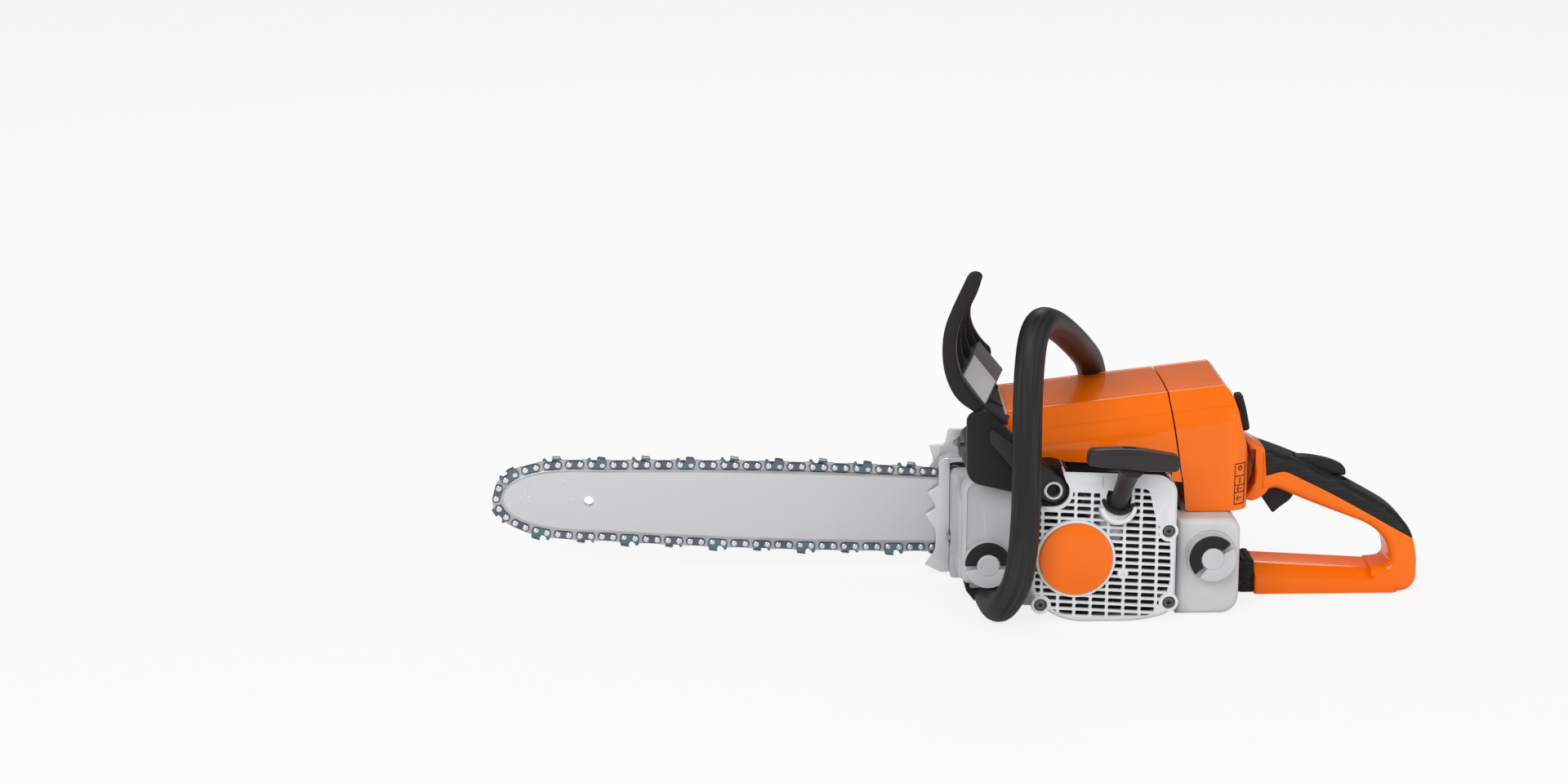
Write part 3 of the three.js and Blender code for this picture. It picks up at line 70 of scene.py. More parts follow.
class Sock:
    """A shader output, with arithmetic that adds Math nodes."""

    def __init__(self, graph: "Graph", out: bpy.types.NodeSocket) -> None:
        """Wrap one output socket of a graph."""
        self.graph = graph
        self.out = out

    def math(self, operation: str, *others: "Sock | float") -> "Sock":
        """Add a Math node with this socket as its first input."""
        inputs = {0: self, **{i + 1: other for i, other in enumerate(others)}}
        return self.graph.node("ShaderNodeMath", {"operation": operation}, inputs)

    def __add__(self, other: "Sock | float") -> "Sock":
        """Add."""
        return self.math("ADD", other)

    __radd__ = __add__

    def __mul__(self, other: "Sock | float") -> "Sock":
        """Multiply."""
        return self.math("MULTIPLY", other)

    __rmul__ = __mul__

    def __sub__(self, other: "Sock | float") -> "Sock":
        """Subtract."""
        return self.math("SUBTRACT", other)

    def __rsub__(self, other: float) -> "Sock":
        """Subtract this from a number."""
        return self * -1.0 + other

    def step(self, low: float, high: float) -> "Sock":
        """Run smoothly from 0 at low to 1 at high.

        Args:
            low: The value that becomes 0.
            high: The value that becomes 1.

        Returns:
            The mask.
        """
        settings = {"interpolation_type": "SMOOTHSTEP"}
        values = {"Value": self, "From Min": low, "From Max": high}
        return self.graph.node("ShaderNodeMapRange", settings, values)


Value = Sock | float | int | Sequence[float]


class Graph:
    """The node tree of one material or world."""

    def __init__(self, tree: bpy.types.NodeTree) -> None:
        """Start from an emptied tree."""
        self.tree = tree
        tree.nodes.clear()

    def node(self, kind: str, settings: dict, inputs: dict) -> Sock:
        """Add a node.

        Args:
            kind: The node's type.
            settings: Properties that are set before the sockets.
            inputs: Values or sockets, by the input's name or index.

        Returns:
            The node's first enabled output.
        """
        made = self.tree.nodes.new(kind)
        for name, value in settings.items():
            setattr(made, name, value)
        for key, value in inputs.items():
            self.feed(made.inputs[key], value)
        enabled = [out for out in made.outputs if out.enabled]
        return Sock(self, enabled[0] if enabled else None)

    def feed(self, socket: bpy.types.NodeSocket, value: Value) -> None:
        """Link or set one input socket.

        Args:
            socket: The input socket.
            value: A socket to link, or the value to set.
        """
        if isinstance(value, Sock):
            self.tree.links.new(value.out, socket)
        elif isinstance(value, (int, float)):
            socket.default_value = value
        else:
            size = len(socket.default_value)
            socket.default_value = (*value, 1.0)[:size]

    def place(self, coordinates: str) -> Sock:
        """Give one set of texture coordinates."""
        made = self.tree.nodes.new("ShaderNodeTexCoord")
        return Sock(self, made.outputs[coordinates])

    def noise(self, scale: float, detail: float, stretch: Point = (1, 1, 1),
              coordinates: str = "Object") -> Sock:
        """Give a noise pattern.

        Args:
            scale: Its waves per metre.
            detail: Its octaves.
            stretch: How it is squeezed along each axis.
            coordinates: Object, or UV where the pattern follows the surface.

        Returns:
            The pattern, from 0 to 1.
        """
        place = self.place(coordinates)
        spot = self.node("ShaderNodeMapping", {}, {"Vector": place, "Scale": stretch})
        return self.node("ShaderNodeTexNoise", {}, {"Vector": spot, "Scale": scale, "Detail": detail})

    def blend(self, mask: Value, first: Value, second: Value) -> Sock:
        """Mix two colours by a mask.

        Args:
            mask: How much of the second colour shows, from 0 to 1.
            first: The colour where the mask is 0.
            second: The colour where it is 1.

        Returns:
            The mixed colour.
        """
        made = self.tree.nodes.new("ShaderNodeMix")
        made.data_type = "RGBA"
        self.feed(made.inputs["Factor"], mask)
        self.feed([s for s in made.inputs if s.name == "A" and s.enabled][0], first)
        self.feed([s for s in made.inputs if s.name == "B" and s.enabled][0], second)
        return Sock(self, [s for s in made.outputs if s.enabled][0])

    def bump(self, height: Sock, strength: float, distance: float) -> Sock:
        """Turn a height pattern into a normal."""
        values = {"Height": height, "Strength": strength, "Distance": distance}
        return self.node("ShaderNodeBump", {}, values)

    def edges(self) -> Sock:
        """Give a mask of convex edges, from how the surface points."""
        made = self.tree.nodes.new("ShaderNodeNewGeometry")
        return Sock(self, made.outputs["Pointiness"]).step(0.51, 0.58)


def surface(name: str, values: Callable[[Graph], dict[str, Value]]) -> bpy.types.Material:
    """Make a material on one Principled shader.

    Args:
        name: The material's name.
        values: Gives the shader's inputs for a graph.

    Returns:
        The material.
    """
    material = bpy.data.materials.new(name)
    material.use_nodes = True
    graph = Graph(material.node_tree)
    shader = graph.node("ShaderNodeBsdfPrincipled", {}, values(graph))
    graph.node("ShaderNodeOutputMaterial", {}, {"Surface": shader})
    return material


# ---- finishes


@dataclass(frozen=True)
class GlossShell:
    """Injection-moulded plastic with a high shine and a faint flow pattern."""

    name: str
    colour: Point
    roughness: float = 0.22
    coat: float = 0.5

    def material(self) -> bpy.types.Material:
        """Make the material."""

        def values(graph: Graph) -> dict[str, Value]:
            """Give the shader's values.

            Args:
                graph: The material's graph.

            Returns:
                The shader's inputs by name.
            """
            flow = graph.noise(18, 4, (1, 1, 0.5))
            fine = graph.noise(1400, 2)
            deep = tuple(0.93 * c for c in self.colour)
            return {
                "Base Color": graph.blend(flow.step(0.3, 0.7), self.colour, deep),
                "Roughness": flow * 0.06 + self.roughness,
                "Coat Weight": self.coat,
                "Coat Roughness": 0.06,
                "Specular IOR Level": 0.16,
                "Normal": graph.bump(fine, 0.05, 0.00005),
            }

        return surface(self.name, values)


@dataclass(frozen=True)
class SatinShell:
    """Moulded plastic or painted casting with a fine grain, and convex edges painted lighter as a painted
    highlight so the hollows look duller.
    """

    name: str
    colour: Point
    roughness: float = 0.42
    grain: float = 0.25
    grain_scale: float = 900
    streak: Point = (1, 1, 1)

    def material(self) -> bpy.types.Material:
        """Make the material."""

        def values(graph: Graph) -> dict[str, Value]:
            """Give the shader's values.

            Args:
                graph: The material's graph.

            Returns:
                The shader's inputs by name.
            """
            cloud = graph.noise(26, 4)
            fine = graph.noise(self.grain_scale, 3, self.streak)
            dark = tuple(0.9 * c for c in self.colour)
            # Convex edges blend towards this lighter tone: a painted highlight.
            light = tuple(min(1.0, 1.12 * c + 0.01) for c in self.colour)
            base = graph.blend(cloud.step(0.35, 0.7), self.colour, dark)
            return {
                "Base Color": graph.blend(graph.edges() * 0.4, base, light),
                "Specular IOR Level": 0.22,
                "Roughness": cloud * 0.14 + (self.roughness - 0.05),
                "Normal": graph.bump(fine, self.grain, 0.0002),
            }

        return surface(self.name, values)


@dataclass(frozen=True)
class RubberGrip:
    """Matte black rubber with lengthwise streaks."""

    name: str
    colour: Point
    roughness: float = 0.55
    streak: Point = (1, 1, 0.05)
    coordinates: str = "Object"

    def material(self) -> bpy.types.Material:
        """Make the material."""

        def values(graph: Graph) -> dict[str, Value]:
            """Give the shader's values.

            Args:
                graph: The material's graph.

            Returns:
                The shader's inputs by name.
            """
            streaks = graph.noise(420, 4, self.streak, self.coordinates)
            fine = graph.noise(2600, 2)
            light = tuple(1.6 * c + 0.01 for c in self.colour)
            return {
                "Base Color": graph.blend(streaks.step(0.45, 0.75), self.colour, light),
                "Specular IOR Level": 0.25,
                "Roughness": streaks * 0.2 + (self.roughness - 0.1),
                "Normal": graph.bump(streaks * 0.7 + fine * 0.3, 0.3, 0.0003),
            }

        return surface(self.name, values)


@dataclass(frozen=True)
class Metal:
    """Bare metal with a directional grain, a tarnish tint and bright edges."""

    name: str
    colour: Point
    tint: Point
    roughness: float = 0.3
    metallic: float = 1.0
    streak: Point = (0.06, 1, 1)
    grain: float = 0.12

    def material(self) -> bpy.types.Material:
        """Make the material."""

        def values(graph: Graph) -> dict[str, Value]:
            """Give the shader's values.

            Args:
                graph: The material's graph.

            Returns:
                The shader's inputs by name.
            """
            lines = graph.noise(1500, 3, self.streak)
            cloud = graph.noise(40, 4)
            base = graph.blend(cloud.step(0.3, 0.75), self.colour, self.tint)
            return {
                "Base Color": graph.blend(graph.edges() * 0.5, base, self.colour),
                "Metallic": self.metallic,
                "Roughness": lines * 0.16 + cloud * 0.08 + (self.roughness - 0.1),
                "Normal": graph.bump(lines, self.grain, 0.0001),
            }

        return surface(self.name, values)


class Finish(Enum):
    """Every finish on the saw."""

    ORANGE = GlossShell("orange_shell", (0.95, 0.165, 0.0))
    # Darker orange for the boot inside the rear handle's neck: painted shade of the orange interior.
    ORANGE_DEEP = SatinShell("orange_painted_shade", (0.42, 0.08, 0.01), 0.5, 0.15)
    WHITE = SatinShell("pale_grey_casting", (0.72, 0.73, 0.745), 0.38, 0.1, 700)
    TANK = SatinShell("oil_tank_grey", (0.54, 0.55, 0.56), 0.4, 0.12, 700)
    FUEL = SatinShell("fuel_tank_white", (0.62, 0.62, 0.63), 0.36, 0.1, 700)
    GREY = SatinShell("cap_grey", (0.55, 0.56, 0.57), 0.42, 0.12, 1100)
    LEDGE = SatinShell("shaded_casting", (0.28, 0.28, 0.29), 0.5, 0.15)
    BLACK = SatinShell("black_moulding", (0.018, 0.016, 0.017), 0.42, 0.3, 1300)
    CHARCOAL = SatinShell("charcoal_moulding", (0.035, 0.032, 0.033), 0.34, 0.25, 1500)
    PANEL = SatinShell("black_panel", (0.012, 0.010, 0.011), 0.5, 0.35, 1800)
    HANDLE = RubberGrip("handle_rubber", (0.016, 0.015, 0.015), 0.46, (1, 0.03, 1), "UV")
    GRIP = RubberGrip("grip_rubber", (0.014, 0.013, 0.013), 0.5, (0.08, 1, 1))
    RUBBER = RubberGrip("buffer_rubber", (0.012, 0.011, 0.011), 0.7, (1, 1, 1))
    BAR = Metal("bar_steel", (0.75, 0.75, 0.76), (0.68, 0.68, 0.695), 0.42, 0.25, (0.05, 1, 1), 0.06)
    BAR_RAIL = Metal("bar_rail_steel", (0.62, 0.62, 0.64), (0.5, 0.5, 0.52), 0.3, 0.9)
    STRAP = Metal("blued_strap_steel", (0.16, 0.19, 0.225), (0.08, 0.095, 0.12), 0.28, 0.85)
    CUTTER = Metal("chromed_cutter", (0.17, 0.25, 0.30), (0.10, 0.16, 0.20), 0.22, 0.9)
    DRIVE = Metal("drive_link_steel", (0.62, 0.62, 0.63), (0.45, 0.45, 0.46), 0.3, 0.9)
    RIVET = Metal("rivet_steel", (0.93, 0.93, 0.94), (0.80, 0.80, 0.82), 0.14, 0.9)
    STEEL = Metal("machined_steel", (0.66, 0.66, 0.67), (0.52, 0.52, 0.53), 0.26)
    DARK_STEEL = Metal("heat_darkened_steel", (0.20, 0.19, 0.19), (0.11, 0.10, 0.10), 0.42)
    ALLOY = Metal("cast_alloy", (0.60, 0.61, 0.62), (0.48, 0.49, 0.5), 0.44, 0.9, (1, 1, 1), 0.3)
    SPIKE = Metal("bright_spikes", (0.80, 0.80, 0.81), (0.70, 0.70, 0.72), 0.36, 0.55, (1, 0.2, 1))
    LABEL = SatinShell("blank_label", (0.60, 0.61, 0.62), 0.3, 0.05, 500)
    PLATE = SatinShell("label_plate_grey", (0.13, 0.125, 0.125), 0.42, 0.15, 900)
    ROPE = SatinShell("starter_rope", (0.62, 0.61, 0.57), 0.85, 0.9, 1600, (1, 0.3, 1))
    FELT = SatinShell("filter_felt", (0.66, 0.64, 0.58), 0.95, 0.9, 1400)
    INK = SatinShell("black_marks", (0.03, 0.012, 0.006), 0.5, 0.05)

    def material(self) -> bpy.types.Material:
        """Give the finish's material, made once."""
        return bpy.data.materials.get(self.value.name) or self.value.material()


# ---- modelling


class Plane(Enum):
    """The plane an outline is drawn in, as the matrix that stands it up; it extrudes across it."""

    XZ = Matrix(((1, 0, 0, 0), (0, 0, 1, 0), (0, 1, 0, 0), (0, 0, 0, 1)))
    YZ = Matrix(((0, 0, 1, 0), (1, 0, 0, 0), (0, 1, 0, 0), (0, 0, 0, 1)))
    XY = Matrix.Identity(4)


class Shape:
    """One piece being modelled, in millimetres."""

    def __init__(self) -> None:
        """Start with nothing."""
        self.mesh = bmesh.new()

    # ---- making

    @classmethod
    def slab(cls, corners: Sequence[Corner], low: float, high: float, rounds: tuple[float, float] = (0, 0),
             plane: Plane = Plane.XZ, arc: int = 6, steps: int = 4) -> "Shape":
        """Extrude an outline whose corners may be rounded.

        Args:
            corners: The outline's corners, each with the length that its rounding takes off a side.
            low: Where the slab starts across its plane.
            high: Where it ends.
            rounds: How far the edges of the low and the high face are rounded.
            plane: The outline's plane.
            arc: Segments of a rounded corner.
            steps: Segments of a rounded edge.

        Returns:
            The slab.
        """
        low_round, high_round = rounds
        angles = [math.pi / 2 * k / steps for k in range(steps + 1)]
        rings = [(low_round * (1 - math.sin(a)), low + low_round * (1 - math.cos(a)))
                 for a in (angles if low_round > 0 else angles[:1])]
        rings += [(high_round * (1 - math.sin(a)), high - high_round * (1 - math.cos(a)))
                  for a in reversed(angles if high_round > 0 else angles[:1])]
        made = cls()
        mesh = made.mesh
        loops = [[mesh.verts.new((x, y, height)) for x, y in outline_ring(corners, inset, arc)]
                 for inset, height in rings]
        for first, second in zip(loops, loops[1:]):
            for index in range(len(first)):
                after = (index + 1) % len(first)
                mesh.faces.new((first[index], first[after], second[after], second[index]))
        mesh.faces.new(loops[0])
        mesh.faces.new(loops[-1])
        bmesh.ops.recalc_face_normals(mesh, faces=mesh.faces)
        return made.turn(plane.value)

    @classmethod
    def box(cls, x: Sequence[float], y: Sequence[float], z: Sequence[float], edge: float = 0) -> "Shape":
        """Make a box between two values on each axis, with its edges bevelled.

        Args:
            x: Its two ends along X.
            y: Its two ends along Y.
            z: Its two ends along Z.
            edge: The bevel's width.

        Returns:
            The box.
        """
        made = cls()
        bmesh.ops.create_cube(made.mesh, size=1)
        spans = (x, y, z)
        bmesh.ops.scale(made.mesh, vec=[b - a for a, b in spans], verts=made.mesh.verts)
        made.move([(a + b) / 2 for a, b in spans])
        if edge:
            bmesh.ops.bevel(made.mesh, geom=made.mesh.edges, offset=edge, affect="EDGES", segments=2,
                            profile=0.5, material=-1)
        return made

    @classmethod
    def lathe(cls, profile: Sequence[Corner], start: Sequence[float], end: Sequence[float] = (0, -1, 0),
              sides: int = 48) -> "Shape":
        """Turn a profile about an axis.

        Args:
            profile: Pairs of radius and distance along the axis.
            start: The axis's start.
            end: The axis's direction from there.
            sides: Segments round the axis.

        Returns:
            The turned shape.
        """
        made = cls()
        mesh = made.mesh
        points = [mesh.verts.new((radius, 0, along)) for radius, along in profile]
        edges = [mesh.edges.new(pair) for pair in zip(points, points[1:])]
        bmesh.ops.spin(mesh, geom=points + edges, cent=(0, 0, 0), axis=(0, 0, 1), angle=2 * math.pi,
                       steps=sides, use_merge=True, use_duplicate=False)
        bmesh.ops.remove_doubles(mesh, verts=mesh.verts, dist=1e-4)
        bmesh.ops.recalc_face_normals(mesh, faces=mesh.faces)
        return made.aim(start, end)

    @classmethod
    def rod(cls, start: Sequence[float], end: Sequence[float], radius: float, sides: int = 32,
            edge: float = 0.4) -> "Shape":
        """Make a round bar between two points, with a small chamfer at both ends.

        Args:
            start: The middle of one end.
            end: The middle of the other.
            radius: Its radius.
            sides: Segments round it.
            edge: The chamfer's width.

        Returns:
            The bar.
        """
        along = Vector(end) - Vector(start)
        profile = [(0, 0), (radius - edge, 0), (radius, edge), (radius, along.length - edge),
                   (radius - edge, along.length), (0, along.length)]
        return cls.lathe(profile, start, along, sides)

    @classmethod
    def bore(cls, x: float, z: float, low: float, high: float, radius: float, sides: int = 32) -> "Shape":
        """Make a round bar across the saw, with square ends, to cut or to join."""
        return cls.rod((x, low, z), (x, high, z), radius, sides=sides, edge=SQUARE_END)

    @classmethod
    def tube(cls, radii: Point2, span: Point2, start: Sequence[float], end: Sequence[float] = (0, -1, 0),
             sides: int = 48) -> "Shape":
        """Turn a square-edged ring about an axis, from its two radii and its span along the axis.

        Args:
            radii: Its inner and outer radius.
            span: Its two ends along the axis.
            start: The axis's start.
            end: The axis's direction from there.
            sides: Segments round the axis.

        Returns:
            The ring.
        """
        (inner, outer), (low, high) = radii, span
        profile = [(inner, low), (outer, low), (outer, high), (inner, high), (inner, low)]
        return cls.lathe(profile, start, end, sides)

    @classmethod
    def sweep(cls, points: Sequence[Sequence[float]], radius: float, sides: int, per: int) -> "Shape":
        """Sweep a circle along a smooth line through points.

        Args:
            points: The points the line passes.
            radius: The circle's radius.
            sides: Its segments.
            per: Steps between two points.

        Returns:
            The swept shape, capped at both ends.
        """
        made = cls()
        mesh = made.mesh
        line = smooth_line(points, per)
        frame_turn = (line[1] - line[0]).to_track_quat("Z", "Y")
        rings = []
        for index, place in enumerate(line):
            ahead = line[index + 1] if index + 1 < len(line) else place
            behind = line[index - 1] if index > 0 else place
            along = (ahead - behind).normalized()
            frame_turn = (frame_turn @ Vector((0, 0, 1))).rotation_difference(along) @ frame_turn
            turn = Matrix.Translation(place) @ frame_turn.to_matrix().to_4x4()
            ring = bmesh.ops.create_circle(mesh, segments=sides, radius=radius, matrix=turn)["verts"]
            rings.append(list({edge for vert in ring for edge in vert.link_edges}))
        for first, second in zip(rings, rings[1:]):
            bmesh.ops.bridge_loops(mesh, edges=first + second)
        for ring in (rings[0], rings[-1]):
            bmesh.ops.contextual_create(mesh, geom=ring)
        bmesh.ops.recalc_face_normals(mesh, faces=mesh.faces)
        return made

    def map_tube(self, sides: int) -> None:
        """Give a swept tube a UV map in metres: round the tube, then along it.

        Args:
            sides: Segments round the tube.
        """
        layer = self.mesh.loops.layers.uv.new("tube")
        self.mesh.verts.ensure_lookup_table()
        round_step, along = 2 * math.pi / sides, [0.0]
        rings = len(self.mesh.verts) // sides
        middles = [sum((self.mesh.verts[r * sides + k].co for k in range(sides)), Vector()) / sides
                   for r in range(rings)]
        radius = (self.mesh.verts[0].co - middles[0]).length
        for first, second in zip(middles, middles[1:]):
            along.append(along[-1] + (second - first).length)
        for face in self.mesh.faces:
            columns = [loop.vert.index % sides for loop in face.loops]
            wraps = len(face.loops) == 4 and max(columns) - min(columns) > 1
            for loop, column in zip(face.loops, columns):
                turned = column + sides if wraps and column == 0 else column
                place = (turned * round_step * radius * MM, along[loop.vert.index // sides] * MM)
                loop[layer].uv = place

    # ---- placing

    def turn(self, matrix: Matrix) -> "Shape":
        """Put the shape through a matrix, and turn its faces back out if that mirrored it.

        Args:
            matrix: The transform.

        Returns:
            This shape.
        """
        bmesh.ops.transform(self.mesh, matrix=matrix, verts=self.mesh.verts)
        if matrix.determinant() < 0:
            bmesh.ops.reverse_faces(self.mesh, faces=self.mesh.faces)
        return self

    def move(self, by: Sequence[float]) -> "Shape":
        """Shift the shape."""
        return self.turn(Matrix.Translation(by))

    def spun(self, degrees: float, axis: str = "Y", centre: Sequence[float] = (0, 0, 0)) -> "Shape":
        """Rotate the shape about an axis through a point."""
        there = Matrix.Translation(centre)
        return self.turn(there @ Matrix.Rotation(math.radians(degrees), 4, axis) @ there.inverted())

    def aim(self, start: Sequence[float], direction: Sequence[float]) -> "Shape":
        """Turn the shape's Z axis to a direction and move its origin to a point."""
        turn = Vector((0, 0, 1)).rotation_difference(Vector(direction).normalized())
        return self.turn(Matrix.Translation(start) @ turn.to_matrix().to_4x4())

    # ---- combining

    def copy(self) -> "Shape":
        """Copy the shape."""
        made = Shape()
        made.mesh = self.mesh.copy()
        return made

    def add(self, *others: "Shape") -> "Shape":
        """Put other shapes beside this one in the same piece.

        Args:
            others: The shapes that go beside this one.

        Returns:
            This shape.
        """
        for other in others:
            spare = bpy.data.meshes.new("spare")
            other.mesh.to_mesh(spare)
            self.mesh.from_mesh(spare)
            bpy.data.meshes.remove(spare)
        return self

    def boolean(self, operation: str, *others: "Shape") -> "Shape":
        """Join, cut or intersect with other shapes.

        Args:
            operation: UNION, DIFFERENCE or INTERSECT.
            others: The shapes that this one is combined with.

        Returns:
            This shape, changed.
        """
        target = link_object("target", self.mesh)
        tools = [link_object("tool", other.mesh) for other in others]
        for tool in tools:
            step = target.modifiers.new("cut", "BOOLEAN")
            step.operation = operation
            step.solver = "MANIFOLD"
            step.object = tool
        result = target.evaluated_get(bpy.context.evaluated_depsgraph_get()).to_mesh()
        self.mesh.clear()
        self.mesh.from_mesh(result)
        for spare in (target, *tools):
            bpy.data.meshes.remove(spare.data)
        return self

    def cut(self, *others: "Shape") -> "Shape":
        """Cut other shapes out of this one."""
        return self.boolean("DIFFERENCE", *others)

    def join(self, *others: "Shape") -> "Shape":
        """Join other shapes to this one."""
        return self.boolean("UNION", *others)

    def meet(self, *others: "Shape") -> "Shape":
        """Keep what this shape shares with the others."""
        return self.boolean("INTERSECT", *others)

    def soften(self, width: float, angle: float) -> "Shape":
        """Bevel the edges sharper than an angle in degrees.

        Args:
            width: The bevel's width.
            angle: The angle that an edge has to pass.

        Returns:
            This shape.
        """
        bmesh.ops.dissolve_limit(self.mesh, angle_limit=math.radians(0.5), verts=self.mesh.verts,
                                 edges=self.mesh.edges)
        edges = [edge for edge in self.mesh.edges
                 if len(edge.link_faces) == 2 and math.degrees(edge.calc_face_angle(0)) > angle]
        bmesh.ops.bevel(self.mesh, geom=edges, offset=width, affect="EDGES", segments=2, profile=0.5,
                        material=-1, clamp_overlap=True)
        return self

    # ---- finishing

    def piece(self, name: str, finish: Finish, body: str, slot: str, replaces: Sequence[str] = (),
              sharp: float = 32) -> bpy.types.Object:
        """Make the piece: in metres, smoothed, finished and riding on its body.

        Args:
            name: The piece's name.
            finish: Its finish.
            body: The body it rides on.
            slot: The record's material slot; not used.
            replaces: The nodes that it stands for.
            sharp: The angle in degrees past which an edge stays sharp.

        Returns:
            The object.
        """
        bmesh.ops.scale(self.mesh, vec=(MM, MM, MM), verts=self.mesh.verts)
        made = link_object(name, self.mesh)
        self.mesh.free()
        made.data.shade_smooth()
        made.data.set_sharp_from_angle(angle=math.radians(sharp))
        made.data.materials.append(finish.material())
        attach(made, body)
        if replaces:
            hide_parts(*replaces)
        LOG.info("%s: %d faces on %s", name, len(made.data.polygons), body)
        return made


def link_object(name: str, mesh: bmesh.types.BMesh) -> bpy.types.Object:
    """Make an object of a mesh and link it to the scene.

    Args:
        name: The object's name.
        mesh: The mesh that it gets a copy of.

    Returns:
        The object.
    """
    data = bpy.data.meshes.new(name)
    mesh.to_mesh(data)
    made = bpy.data.objects.new(name, data)
    bpy.context.scene.collection.objects.link(made)
    return made


def rectangle(left: float, right: float, low: float, high: float, rounding: float = 0) -> list[Corner]:
    """Give a rectangle's corners, all rounded alike."""
    return [(left, low, rounding), (right, low, rounding), (right, high, rounding), (left, high, rounding)]


def outline_ring(corners: Sequence[Corner], inset: float, arc: int) -> list[Point2]:
    """Give an outline moved inwards, with its corners rounded.

    Args:
        corners: The outline's corners, each with the length that its rounding takes off a side.
        inset: How far the outline moves inwards.
        arc: Segments of a rounded corner.

    Returns:
        The points, as many for every inset.
    """
    spots = [Vector(corner[:2]) for corner in corners]
    count = len(spots)
    ways = [(spots[(i + 1) % count] - spots[i]) for i in range(count)]
    sides = [way.length for way in ways]
    ways = [way.normalized() for way in ways]
    offs = [corner[2] if len(corner) > 2 else 0.0 for corner in corners]
    wanted = list(offs)
    for i in range(count):
        for other, side in ((i - 1, sides[i - 1]), ((i + 1) % count, sides[i])):
            both = wanted[i] + wanted[other]
            if both > 0.98 * side:
                offs[i] = min(offs[i], 0.98 * side * wanted[i] / both)
    area = sum(a.x * b.y - b.x * a.y for a, b in zip(spots, [*spots[1:], spots[0]]))
    hand = 1 if area > 0 else -1
    out = []
    for i, spot in enumerate(spots):
        a, b = ways[i - 1], ways[i]
        turn = math.atan2(a.x * b.y - a.y * b.x, a.dot(b))
        normals = Vector((-a.y - b.y, a.x + b.x)) * hand
        place = spot + normals * (inset / (1 + a.dot(b)))
        if offs[i] <= 0 or abs(turn) < 0.01:
            out.append(tuple(place))
            continue
        reach = max(offs[i] - inset * math.tan(turn * hand / 2), 0.02)
        start = place - a * reach
        radius = reach / math.tan(abs(turn) / 2)
        centre = start + Vector((-a.y, a.x)) * math.copysign(radius, turn)
        for k in range(arc + 1):
            angle = turn * k / arc
            x, y = start - centre
            out.append((centre.x + x * math.cos(angle) - y * math.sin(angle),
                        centre.y + x * math.sin(angle) + y * math.cos(angle)))
    return out


def smooth_line(points: Sequence[Sequence[float]], per: int) -> list[Vector]:
    """Give a smooth line through points.

    Args:
        points: The points it passes.
        per: Steps between two of them.

    Returns:
        The line's points.
    """
    spots = [Vector(point) for point in points]
    last = len(spots) - 1
    line = []
    for index in range(last):
        before, here, there, after = (spots[min(max(index + k, 0), last)] for k in (-1, 0, 1, 2))
        for step in range(per):
            t = step / per
            line.append(0.5 * (2 * here + (there - before) * t
                               + (2 * before - 5 * here + 4 * there - after) * t * t
                               + (3 * here - before - 3 * there + after) * t ** 3))
    return [*line, spots[-1]]


# ---- top covers


